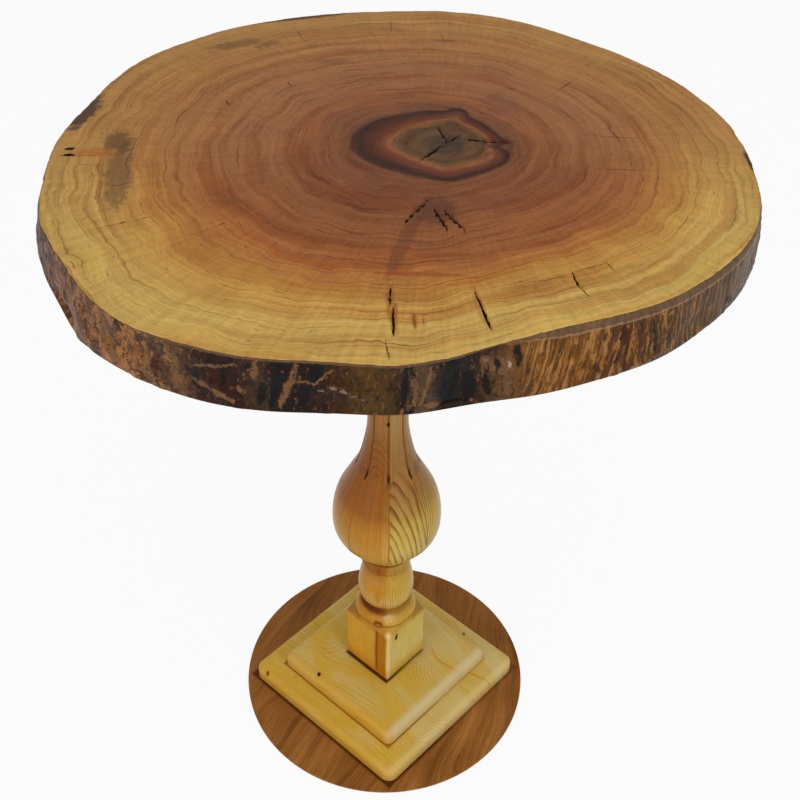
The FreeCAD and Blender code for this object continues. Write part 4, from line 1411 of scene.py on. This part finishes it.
@dataclass
class Slab:
    """The trunk slice, with its natural edge in relief."""

    node: str = "tabletop_slab"
    radius: float = 310.0 * MM
    bottom: float = 707.0 * MM
    top: float = 757.0 * MM
    pith: tuple[float, float] = (45.0 * MM, 12.0 * MM)
    columns: int = 980
    side_rows: int = 44
    top_rows: int = 44
    rim_rows: int = 8
    start_turn: float = 90.0
    relief: float = 1.5 * MM
    groove_depth: float = 2.6 * MM
    skin: float = 0.1 * MM
    bevel_top: float = 708.2 * MM
    bevel_inset: float = 1.2 * MM
    swell_low: float = 729 * MM
    swell_end: float = 754.5 * MM
    rim_inset: float = 2.5 * MM

    def turns(self) -> np.ndarray:
        """Return each column's angle round the axis, closer together where checks need it.

        Columns are spread over the directions from the pith by a density of 1 plus a bell at
        each deep mark's direction. A direction is turned into an angle round the axis by the
        rim point that it meets.

        Returns:
            The angles in radians, from the back of the table.
        """
        fine = np.radians(self.start_turn + np.linspace(0, 360, 7201))
        rim = self.edge(fine, np.full_like(fine, self.top))
        x, y = rim * np.cos(fine) - self.pith[0], rim * np.sin(fine) - self.pith[1]
        seen = np.unwrap(np.arctan2(y, x))
        density = np.full_like(seen, 1)
        for mark in CRACKS:
            if mark.depth is Depth.CHECK:
                middle = (np.array(mark.start) + np.array(mark.end)) / 2 * MM - self.pith
                turn = math.atan2(middle[1], middle[0])
                gap = (seen - turn + math.pi) % math.tau - math.pi
                density += 1.7 * np.exp(-(gap / 0.022) ** 2)
        total = np.concatenate([[0], np.cumsum((density[1:] + density[:-1]) / 2 * np.diff(seen))])
        wanted = np.arange(self.columns) / self.columns * total[-1]
        return np.interp(wanted, total, fine)

    def edge(self, turns: np.ndarray, levels: np.ndarray) -> np.ndarray:
        """Return the solid's radius: the rim's curve plus the swell that fades out at the top.

        Args:
            turns: Angles in radians.
            levels: Heights in metres, of the same shape.

        Returns:
            The radii in metres.
        """
        heights = (self.bottom, self.bevel_top, self.swell_low, self.swell_end, self.top)
        grow = np.interp(levels, heights, (1, 1, 0.8, 0, 0))
        inset = np.interp(levels, heights, (self.bevel_inset, 0, 0, 0, self.rim_inset))
        rim = closed_curve(RIM_SHARES, turns)
        return self.radius * (rim + grow * closed_curve(SWELL_SHARES, turns)) - inset

    def edge_relief(self, turns: np.ndarray, levels: np.ndarray) -> np.ndarray:
        """Return how far the natural edge stands out from the solid, or in where it is below 0.

        It is ridges along the trunk, finer and flatter where the sapwood is bare on the right
        front, with peeling plates and the listed bumps.

        Args:
            turns: Angles in radians.
            levels: Heights in metres, of the same shape.

        Returns:
            The move along the radius in metres.
        """
        share = (turns / math.tau) % 1.0
        drop = (self.top - levels) / (self.top - self.bottom)
        degrees = np.degrees(turns) % 360
        leaned = (share + 0.004 * drop) % 1.0
        ridges = Lattice(11, 170, 3).at(leaned, drop) + 0.7 * Lattice(12, 420, 4).at(leaned, drop)
        plates = Lattice(13, 96, 5).at(share, drop)
        flakes = Lattice(14, 230, 10).at(share, drop)
        plates = np.sign(plates) * np.abs(plates) ** 0.6 + 0.5 * flakes
        bare = smooth_step(degrees, 286, 292) * smooth_step(degrees, 345, 335)
        fine = Lattice(15, 560, 3).at(leaned, drop)
        rough = (0.42 * ridges + 0.5 * plates) * (1 - 0.7 * bare) + 0.22 * fine
        fade = smooth_step(drop, 0, 0.10) * smooth_step(drop, 1, 0.97)
        total = self.relief * (rough - 0.15) * fade
        for bump in BUMPS:
            total += bump.at(degrees, levels) * fade
        return total

    @staticmethod
    def rim_fall(turns: np.ndarray) -> np.ndarray:
        """Return how far the rim falls away, in metres: the worn band at the right front.

        Args:
            turns: Angles in radians.

        Returns:
            The drop at each angle.
        """
        degrees = np.degrees(turns) % 360
        band = smooth_step(degrees, 281, 292) * smooth_step(degrees, 346, 328)
        wave = Lattice(21, 60, 2).at((turns / math.tau) % 1, np.zeros_like(turns))
        return (0.3 + 2.3 * band + 0.5 * wave * (0.4 + band)) * MM

    def build(self) -> bpy.types.Object:
        """Build the slab: flat underside, natural edge, worn rim and flat top with its checks.

        Side rows run up at even shares of the height to the rim, which falls away in places.

        Returns:
            The new piece.
        """
        turns = self.turns()
        fall = self.rim_fall(turns)
        rim_level = self.top - self.rim_inset - fall
        share = np.linspace(0, 1, self.side_rows)[:, None]
        levels = self.bottom + share * (rim_level - self.bottom)
        around = np.broadcast_to(turns, levels.shape)
        edge = self.edge(around, levels) + self.edge_relief(around, levels)
        parts = np.linspace(0.2, 0.985, 6)
        rings = [self._ring(edge[0] * part, turns, levels[0]) for part in parts]
        rings += [self._ring(radius, turns, level) for radius, level in zip(edge, levels)]
        under = len(rings) - self.side_rows
        rings += self._rim_rings(turns, edge[-1], rim_level)
        side = len(rings) - under
        rings += self._top_rings(rings[-1])
        points = np.stack(rings)
        over = points[under + side:]
        over[:, :, 2] -= self._grooves(over[:, :, 0], over[:, :, 1])
        points = np.clip(points, np.array(LOW) + self.skin,
                         np.array(HIGH) - self.skin * np.array((1, 1, 0)))
        piece = grid_mesh("slab", points, self._edge_map(points))
        self._dress(piece, points, under, side)
        return piece

    @staticmethod
    def _ring(radius: np.ndarray, turns: np.ndarray, height: np.ndarray) -> np.ndarray:
        """Return one ring of points round the axis."""
        return np.stack([radius * np.cos(turns), radius * np.sin(turns), height], -1)

    def _rim_rings(self, turns: np.ndarray, radius: np.ndarray,
                   level: np.ndarray) -> list[np.ndarray]:
        """Return the rings over the rounded rim: a quarter ellipse as high as the rim falls.

        Args:
            turns: Angles in radians.
            radius: The radius at each angle, in metres.
            level: The height at each angle where the rim starts, in metres.

        Returns:
            The rings of points.
        """
        reach = 1.4 * MM + 1.5 * (self.top - self.rim_inset - level)
        rings = []
        for angle in np.radians(np.linspace(0, 90, self.rim_rows)[1:]):
            inward = reach * (1 - math.cos(angle))
            height = level + (self.top - level) * math.sin(angle)
            rings.append(self._ring(radius - inward, turns, height))
        return rings

    def _top_rings(self, rim: np.ndarray) -> list[np.ndarray]:
        """Return the rings of the flat top, from just inside the rim to the pith.

        Args:
            rim: The rim's points.

        Returns:
            The rings of points.
        """
        pith = np.array([self.pith[0], self.pith[1], self.top])
        shares = np.concatenate([np.linspace(1, 0.90, 10)[1:],
                                 np.linspace(0.90, 0.004, self.top_rows - 9)[1:]])
        return [pith + share * (rim - pith) for share in shares]

    def _grooves(self, x: np.ndarray, y: np.ndarray) -> np.ndarray:
        """Return how deep the top is cut at each place: its deepest mark there, in metres.

        Args:
            x: Places along X in metres.
            y: Places along Y in metres.

        Returns:
            The depth at each place.
        """
        depth = np.zeros_like(x)
        for mark in CRACKS:
            depth = np.maximum(depth, mark.groove(x / MM, y / MM))
        return depth * self.groove_depth

    def _edge_map(self, points: np.ndarray) -> np.ndarray:
        """Return the flat map of the edge: share of the turn, and share of the drop.

        Args:
            points: Rings by columns by three, in metres.

        Returns:
            Rings by columns and one by two.
        """
        across = np.unwrap(np.arctan2(points[..., 1], points[..., 0]), axis=1)
        across = across / math.tau - math.radians(self.start_turn) / math.tau
        across = across - np.round(across[:, :1])
        drop = (self.top - points[..., 2]) / (self.top - self.bottom)
        sheet = np.stack([across, drop], -1)
        return np.concatenate([sheet, sheet[:, :1] + np.array([1, 0])], 1)

    def _dress(self, piece: bpy.types.Object, points: np.ndarray, under: int, side: int) -> None:
        """Give the slab its growth values, its two finishes and its place in the table.

        Args:
            piece: The slab.
            points: Its rings of points.
            under: How many rings lie in the underside.
            side: How many rings climb the edge.
        """
        rim = points[under + side - 1, :, :2] - np.array(self.pith)
        flat = points[..., :2] - np.array(self.pith)
        far = np.hypot(flat[..., 0], flat[..., 1])
        reach = np.hypot(rim[:, 0], rim[:, 1])
        turn = np.arctan2(rim[:, 1], rim[:, 0])
        inner = CORE.ring_radius(turn, self.pith)
        beyond = (far - inner) / (reach - inner)
        outside = CORE.ring_growth + beyond * (GROWTH_END - CORE.ring_growth)
        growth = np.where(far < inner, far / inner * CORE.ring_growth, outside)
        core = far / CORE.line_radius(turn, self.pith)
        for name, values in (("growth", growth), ("core", core)):
            set_number(piece, name, np.concatenate([values.ravel(), [values[0].mean(), 0.0]]))
        piece.data.materials.append(EndGrain().build())
        piece.data.materials.append(BarkEdge().build())
        which = np.zeros((points.shape[0] - 1, self.columns), np.int32)
        which[under - 1:under + side - 3] = 1
        which = np.concatenate([which.ravel(), np.zeros(2 * self.columns, np.int32)])
        piece.data.polygons.foreach_set("material_index", which)
        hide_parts(self.node)
        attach(piece, "root")


@dataclass(frozen=True)
class Core:
    """The dark core round the pith: an uneven line, and the smooth ring that others follow."""

    line: tuple[tuple[float, float], ...] = (
        (-7, 61), (17, 70), (51, 74), (59, 79), (68, 80), (73, 74), (75, 63), (89, 45), (98, 27),
        (106, 14), (99, 10), (96, 6), (102, 1), (103, -17), (90, -30), (74, -41), (48, -52),
        (29, -46),
        (4, -35), (-22, -16), (-35, 6), (-34, 28), (-23, 47),
    )
    ring_middle: tuple[float, float] = (33.0, 12.0)
    ring_halves: tuple[float, float] = (70.0, 62.0)
    ring_growth: float = 66.0

    def line_radius(self, turn: np.ndarray, pith: tuple[float, float]) -> np.ndarray:
        """Return the line's distance from the pith in each direction, in metres.

        Args:
            turn: Directions in radians.
            pith: The pith in metres.

        Returns:
            The distances in metres.
        """
        away = np.array(self.line) * MM - np.array(pith)
        angle = np.arctan2(away[:, 1], away[:, 0])
        order = np.argsort(angle)
        return np.interp(turn, angle[order], np.hypot(away[order, 0], away[order, 1]),
                         period=math.tau)

    def ring_radius(self, turn: np.ndarray, pith: tuple[float, float]) -> np.ndarray:
        """Return the ellipse's distance from the pith in each direction, in metres.

        A ray from the pith meets the ellipse where a quadratic in the distance is zero.

        Args:
            turn: Directions in radians.
            pith: The pith in metres.

        Returns:
            The distances in metres.
        """
        wide, high = (half * MM for half in self.ring_halves)
        east, north = (here - middle * MM for here, middle in zip(pith, self.ring_middle))
        first = (np.cos(turn) / wide) ** 2 + (np.sin(turn) / high) ** 2
        second = east * np.cos(turn) / wide ** 2 + north * np.sin(turn) / high ** 2
        third = (east / wide) ** 2 + (north / high) ** 2 - 1
        return (-second + np.sqrt(second ** 2 - first * third)) / first


CORE = Core()


@dataclass
class Column:
    """The turned post: two square blocks, beads, rings, the bulb and the grooved neck.

    Sizes are in millimetres. The outline's shares are of a height and of a radius, as they are
    in the solid. Uncut is a half side that is too large to cut the round parts.
    """

    node: str = "column"
    half_side: float = 34.0
    arris: float = 34.0
    uncut: float = 90.0
    cone_end: float = 10.0
    roll_start: float = 14.3
    roll_length: float = 13.7
    roll_height: float = 11.4
    roll_rise: float = 1.4
    foot_rows: int = 32
    head_rows: int = 18
    soft: float = 0.5
    foot: float = 45.0
    foot_block_end: float = 126.5
    head_block_end: float = 624.0
    head: float = 685.0
    tenon: float = 15.0
    tenon_depth: float = 19.8
    groove: float = 25.0
    shoulder: float = 35.0
    beads: tuple[tuple[float, float], ...] = ((62.0, 33.0), (36.0, 31.0))
    rings: tuple[tuple[float, float], ...] = ((16.0, 28.8), (11.0, 26.0))
    crown_share: float = 0.32
    neck: float = 22.0
    waist: float = 21.2
    bulb: tuple[tuple[float, float, float], ...] = (
        (0.00, 0.12, 4.50), (0.17, 0.81, 3.50), (0.30, 1.00, 0.00), (0.54, 0.72, -2.70),
        (0.67, 0.38, -2.70), (0.83, 0.12, -1.05), (1.00, 0.00, -0.10),
    )
    bulb_start: float = 235.5
    bulb_height: float = 204.0
    bulb_radius: float = 61.6
    neck_end: float = 546.0
    carved: tuple[tuple[float, float], ...] = (
        (374.2, -0.6), (378.9, 2.9), (396.0, 2.3), (424.1, 1.9), (520.7, 1.9), (530.0, -0.6),
    )
    carved_angle: float = 40.0
    carved_every: float = 45.0

    def shoulder_rows(self, end: float, way: int, count: int) -> np.ndarray:
        """Return the turned outline from a block's end in to its groove.

        The cut corners are a cone. The roll starts on it as a parabola and closes as a curve
        between a circle and a square.

        Args:
            end: Height of the block's end.
            way: 1 where the turning is above the block, and -1 below.
            count: Rows over the cut corners.

        Returns:
            Rows of height and radius.
        """
        slope = np.linspace(-1.2, self.cone_end, count)
        start = np.linspace(10.3, self.roll_start, 7)
        share = np.sin(np.radians(np.linspace(4, 90, count // 2)))
        diagonal = self.half_side * math.sqrt(2)
        radius = np.concatenate([
            diagonal - (diagonal - self.shoulder) * slope / self.cone_end,
            self.shoulder + self.roll_rise - self.roll_rise
            * ((self.roll_start - start) / 4.3) ** 2,
            self.groove + self.roll_height * (1 - share ** 1.7) ** 0.75,
            [self.groove] * 3,
        ])
        roll = self.roll_start + self.roll_length * share
        along = np.concatenate([slope, start, roll, [28.3, 30.6, 31]])
        return np.stack([end + way * along, radius], -1)

    def bead_rows(self, start: float, way: int, size: tuple[float, float],
                  count: int) -> np.ndarray:
        """Return a bead's outline: an arc on each side of its crown, both upright there.

        Args:
            start: Height of its end by the block.
            way: 1 up, -1 down.
            size: Height and crown radius.
            count: How many rows.

        Returns:
            Rows of height and radius.
        """
        height, crown = size
        along = height * (1 - np.cos(np.linspace(0, math.pi, count))) / 2
        middle = height * self.crown_share
        rise = crown - self.groove
        reach = np.where(along < middle, middle, height - middle)
        bend = (rise ** 2 + reach ** 2) / (2 * rise)
        radius = crown - bend + np.sqrt(bend ** 2 - (along - middle) ** 2)
        return np.stack([start + way * along, radius], -1)

    @staticmethod
    def ring_rows(start: float, way: int, size: tuple[float, float],
                  worn: float = 1.3) -> np.ndarray:
        """Return a plain ring's outline, with both of its edges worn round.

        Args:
            start: Height of its end by the bead.
            way: 1 up, -1 down.
            size: Height and radius.
            worn: Radius of the worn edges.

        Returns:
            Rows of height and radius.
        """
        height, radius = size
        steps = np.array([0, 0.15, 0.45, 0.9, 1.3])
        fall = worn - np.sqrt(worn ** 2 - (worn - steps) ** 2)
        along = np.concatenate([steps, [height / 2], height - steps[::-1]])
        inward = np.concatenate([fall, [0], fall[::-1]])
        return np.stack([start + way * along, radius - inward], -1)

    def bulb_rows(self) -> np.ndarray:
        """Return the bulb and neck's outline: cubic curves through the bulb's places and slopes.

        Returns:
            Rows of height and radius.
        """
        nodes = np.array(self.bulb)
        share = np.concatenate([np.linspace(0, 0.67, 50), np.linspace(0.68, 0.72, 8),
                                np.linspace(0.74, 1, 14)])
        near = np.clip(np.searchsorted(nodes[:, 0], share, side="right") - 1, 0, len(nodes) - 2)
        low, high = nodes[near], nodes[near + 1]
        width = high[:, 0] - low[:, 0]
        part = (share - low[:, 0]) / width
        square, cube = part ** 2, part ** 3
        out = (low[:, 1] * (2 * cube - 3 * square + 1) + high[:, 1] * (3 * square - 2 * cube)
               + width * (low[:, 2] * (cube - 2 * square + part) + high[:, 2] * (cube - square)))
        bulb = np.stack([self.bulb_start + self.bulb_height * share,
                         self.neck + (self.bulb_radius - self.neck) * out], -1)
        heights = np.concatenate([np.linspace(446, 516, 9), np.linspace(521, 531, 6),
                                  [538.0, self.neck_end]])
        middle = (self.bulb_start + self.bulb_height + self.neck_end) / 2
        half = self.neck_end - middle
        narrow = (self.neck - self.waist) * (1 - np.abs(heights - middle) / half)
        return np.concatenate([bulb, np.stack([heights, self.neck - narrow], -1)])

    def rows(self) -> tuple[np.ndarray, np.ndarray]:
        """Return the whole outline from the foot tenon up, and the half side at each row.

        Where the post is round, the half side is too large to cut it.

        Returns:
            Rows of height and radius, and the half sides.
        """
        runs = []
        ends = ((self.foot, self.foot_block_end, 1, 0), (self.head, self.head_block_end, -1, 1))
        for face, end, way, which in ends:
            square = np.linspace(face + way * 3, end - way * 2, 7)
            heights = np.concatenate([[face, face + way * 0.5, face + way * 1.5], square])
            count = self.foot_rows if way > 0 else self.head_rows
            shoulder = self.shoulder_rows(end, way, count)
            start = shoulder[-1, 0]
            bead = self.bead_rows(start, way, self.beads[which], count)
            ring = self.ring_rows(bead[-1, 0], way, self.rings[which])
            block = np.stack([heights, np.full(len(heights), self.uncut)], -1)
            stub = np.array([(face - way * self.tenon_depth, self.tenon), (face, self.tenon)])
            halves = np.full(2 + len(heights) + len(shoulder) + len(bead) + len(ring), self.uncut)
            halves[2:2 + len(heights) + len(shoulder)] = self.half_side
            halves[2:4] -= np.array([1.5, 1])
            runs.append((np.concatenate([stub, block, shoulder, bead, ring]), halves))
        middle = self.bulb_rows()
        (foot, foot_halves), (head, head_halves) = runs
        halves = np.concatenate([foot_halves, np.full(len(middle), self.uncut), head_halves[::-1]])
        return np.concatenate([foot, middle, head[::-1]]), halves

    def turns(self) -> np.ndarray:
        """Return the columns' angles in radians, closer together by the corners and grooves.

        Returns:
            The angles.
        """
        sector = np.concatenate([np.linspace(0, 4.5, 9)[:-1], np.linspace(4.5, 40.5, 25)[:-1],
                                 np.linspace(40.5, 45, 9)[:-1]])
        starts = np.arange(8)[:, None] * self.carved_every
        return np.radians((starts + sector[None]).ravel())

    def build(self) -> bpy.types.Object:
        """Build the column.

        A point's radius is the smooth minimum of the turned outline and of the square, whose
        arrises are rounded as a superellipse, less the V of the nearest carved groove.

        Returns:
            The new piece.
        """
        rows, halves = self.rows()
        turns = self.turns()
        height, radius = rows[:, :1], rows[:, 1:]
        cosine, sine = np.abs(np.cos(turns - math.pi / 4)), np.abs(np.sin(turns - math.pi / 4))
        square = halves[:, None] / (cosine ** self.arris + sine ** self.arris) ** (1 / self.arris)
        share = np.clip(0.5 + 0.5 * (square - radius) / self.soft, 0, 1)
        reach = square * (1 - share) + radius * share - self.soft * share * (1 - share)
        around = np.radians((np.degrees(turns) + self.carved_every / 2) % self.carved_every
                            - self.carved_every / 2)
        levels, depths = np.array(self.carved).T
        depth = np.interp(height, levels, depths, left=-1, right=-1)
        across = np.abs(around) * radius
        reach = reach - np.maximum(depth - across / math.tan(math.radians(self.carved_angle)), 0)
        high = np.broadcast_to(height, reach.shape)
        points = np.stack([reach * np.cos(turns), reach * np.sin(turns), high], -1) * MM
        piece = grid_mesh("turned_column", points)
        piece.data.materials.append(TurnedPine().build())
        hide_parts(self.node)
        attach(piece, "root")
        return piece


@dataclass
class Plate:
    """One of the stacked square boards, with its upper edge rounded over.

    Sizes are in millimetres. The foot is its lower edge: pairs of a height above its underside
    and an inset.
    """

    name: str
    node: str
    low: float
    high: float
    half: float
    corner: float
    finish: Pine
    round_over: float = 9.0
    foot: tuple[tuple[float, float], ...] = ((0.0, 0.6), (0.4, 0.2), (1.0, 0.0))
    rows: int = 11
    arc_points: int = 12
    side_points: int = 16

    def outline(self, inset: float) -> np.ndarray:
        """Return the board's outline, drawn in by an inset: arcs at the corners, straight between.

        Args:
            inset: How far in from the full outline, in millimetres.

        Returns:
            Points anticlockwise, with one corner towards +X.
        """
        radius = max(self.corner - inset, 0.4)
        centre = self.half - inset - radius
        arc = np.radians(np.linspace(0, 90, self.arc_points))
        corner = np.stack([centre + radius * np.cos(arc), centre + radius * np.sin(arc)], -1)
        share = np.linspace(0, 1, self.side_points + 2)[1:-1, None]
        start, end = corner[-1], np.array([-corner[-1, 0], corner[-1, 1]])
        quarter = np.concatenate([corner, start + share * (end - start)])
        turned = [quarter @ np.array([[math.cos(turn), math.sin(turn)],
                                      [-math.sin(turn), math.cos(turn)]])
                  for turn in np.radians([-45.0, 45.0, 135.0, 225.0])]
        return np.concatenate(turned)

    def build(self) -> bpy.types.Object:
        """Build the board: rows up its side, round over its edge and in to the middle.

        Returns:
            The new piece.
        """
        angle = np.radians(np.linspace(0, 90, self.rows))
        rows = [(self.low + rise, inset) for rise, inset in self.foot]
        rows += [(self.high - self.round_over * (1 - math.sin(turn)),
                  self.round_over * (1 - math.cos(turn)))
                 for turn in angle]
        insets = np.linspace(self.round_over, self.half - 4, 6)[1:]
        rows += [(self.high, inset) for inset in insets]
        rings = []
        for height, inset in rows:
            flat = self.outline(inset)
            rings.append(np.column_stack([flat, np.full(len(flat), height)]))
        piece = grid_mesh(self.name, np.stack(rings) * MM)
        piece.data.materials.append(self.finish.build())
        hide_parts(self.node)
        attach(piece, "root")
        return piece


@dataclass
class PhotoCamera:
    """The photograph's viewpoint, as solved from the base board, the plates and the slab."""

    place: tuple[float, float, float] = (-0.0408, -0.9710, 1.3000)
    tilt_down: float = 40.66
    turn: float = -3.13
    roll: float = 1.20
    lens: float = 55.12

    def build(self) -> bpy.types.Object:
        """Make the camera and give it to the scene.

        Returns:
            The camera.
        """
        camera = bpy.data.objects.new("photo_camera", bpy.data.cameras.new("photo_camera"))
        camera.data.lens = self.lens
        camera.data.sensor_width = 36.0
        turn = Matrix.Rotation(math.radians(self.turn), 4, "Z")
        tilt = Matrix.Rotation(math.radians(90.0 - self.tilt_down), 4, "X")
        roll = Matrix.Rotation(math.radians(self.roll), 4, "Z")
        camera.matrix_world = Matrix.Translation(Vector(self.place)) @ turn @ tilt @ roll
        bpy.context.scene.collection.objects.link(camera)
        bpy.context.scene.camera = camera
        return camera


@dataclass
class Studio:
    """A pale floor and soft light."""

    floor_half: float = 6.0
    floor_level: float = -0.3 * MM
    world_light: float = 0.49
    lights: tuple[tuple[str, tuple[float, float, float], float, float], ...] = field(default=(
        ("overhead", (0.2, -0.9, 2.7), 1.6, 16.0),
        ("front_right", (1.5, -2.2, 1.3), 1.6, 22.0),
        ("front_left", (-1.9, -1.8, 1.2), 1.6, 17.0),
    ))

    def build(self) -> None:
        """Make the floor, the world and the lights."""
        self._floor()
        self._world()
        for name, place, size, power in self.lights:
            lamp = bpy.data.lights.new(name, "AREA")
            lamp.shape = "DISK"
            lamp.size = size
            lamp.energy = power
            light = bpy.data.objects.new(name, lamp)
            light.location = place
            aim = Vector((0.0, 0.0, 0.45)) - Vector(place)
            light.rotation_mode = "QUATERNION"
            light.rotation_quaternion = aim.to_track_quat("-Z", "Y")
            bpy.context.scene.collection.objects.link(light)

    def _floor(self) -> None:
        """Make the floor: matt and pale, nearly white to the camera, with the table's shadow."""
        half = self.floor_half
        mesh = bpy.data.meshes.new("floor")
        signs = ((-1, -1), (1, -1), (1, 1), (-1, 1))
        corners = [(x * half, y * half, self.floor_level) for x, y in signs]
        mesh.from_pydata(corners, [], [(0, 1, 2, 3)])
        floor = bpy.data.objects.new("floor", mesh)
        bpy.context.scene.collection.objects.link(floor)
        recipe = Recipe.named("pale_floor")
        seen = self._seen(recipe)
        matt = recipe.node("BsdfDiffuse", {}, {"Color": (0.80, 0.80, 0.80, 1.0)})
        glow = recipe.node("Emission", {}, {"Color": (1.0, 1.0, 1.0, 1.0), "Strength": 1.0})
        mixed = recipe.node("MixShader", {}, {0: seen * 0.92, 1: matt, 2: glow})
        recipe.close(mixed)
        mesh.materials.append(recipe.owner)

    @staticmethod
    def _seen(recipe: Recipe) -> Wire:
        """Return 1 for rays from the camera, a reflection or glass.

        Args:
            recipe: The floor or the world.

        Returns:
            1 for such rays and 0 for others.
        """
        paths = recipe.node("LightPath", {}, {}).socket.node.outputs
        rays = [Wire(recipe, paths[name]) for name in
                ("Is Camera Ray", "Is Glossy Ray", "Is Transmission Ray")]
        return (rays[0] + rays[1] + rays[2]).up_to(1.0)

    def _world(self) -> None:
        """Make the world: even soft grey light, white to the camera."""
        world = bpy.data.worlds.new("studio")
        bpy.context.scene.world = world
        recipe = Recipe(world)
        white = (1.0, 1.0, 1.0, 1.0)
        soft = recipe.node("Background", {}, {"Color": white, "Strength": self.world_light})
        bright = recipe.node("Background", {}, {"Color": white, "Strength": 1.0})
        recipe.close(recipe.node("MixShader", {}, {0: self._seen(recipe), 1: soft, 2: bright}))


def dress(node: str, material: bpy.types.Material) -> None:
    """Give a solid from the frame another material.

    Args:
        node: The solid's name.
        material: The new material.
    """
    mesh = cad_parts[node].data
    mesh.materials.clear()
    mesh.materials.append(material)


def main() -> None:
    """Build the table piece by piece."""
    logging.basicConfig(level=logging.INFO)
    bpy.context.scene.view_settings.view_transform = "Standard"
    PhotoCamera().build()
    Studio().build()
    slab = Slab().build()
    log.info("slab: %d faces", len(slab.data.polygons))
    column = Column().build()
    log.info("column: %d faces", len(column.data.polygons))
    upper = Plate("upper_board", "upper_plate", 25.0, 45.0, 90.0, 8.0, Pine(
        "upper_pine", drift=1.3, half=90.0, end_grain_sheen_share=0.75, foot=34.0, joint_and_shadow=srgb(94, 51, 4),
        arcs=UPPER_ARCS,
        knots=UPPER_KNOTS)).build()
    lower = Plate("lower_board", "lower_plate", 5.0, 25.0, 118.0, 13.0, Pine(
        "lower_pine", drift=7.7, curve=0.0016, arcs=LOWER_ARCS, knots=LOWER_KNOTS)).build()
    log.info("boards: %d and %d faces", len(upper.data.polygons), len(lower.data.polygons))
    board = Pine("plain_pine", drift=2.9, foot=-5.0).build()
    dark = DarkBoard().build()
    steel = ZincSteel().build()
    for node in ("top_cleat", "tenon_wedge"):
        dress(node, board)
    dress("base_disc", dark)
    for node in ("cleat_screws", "cleat_washers", "plate_screws", "lag_screw", "lag_washer",
                 "disc_screws"):
        dress(node, steel)


if __name__ == "__main__":
    main()
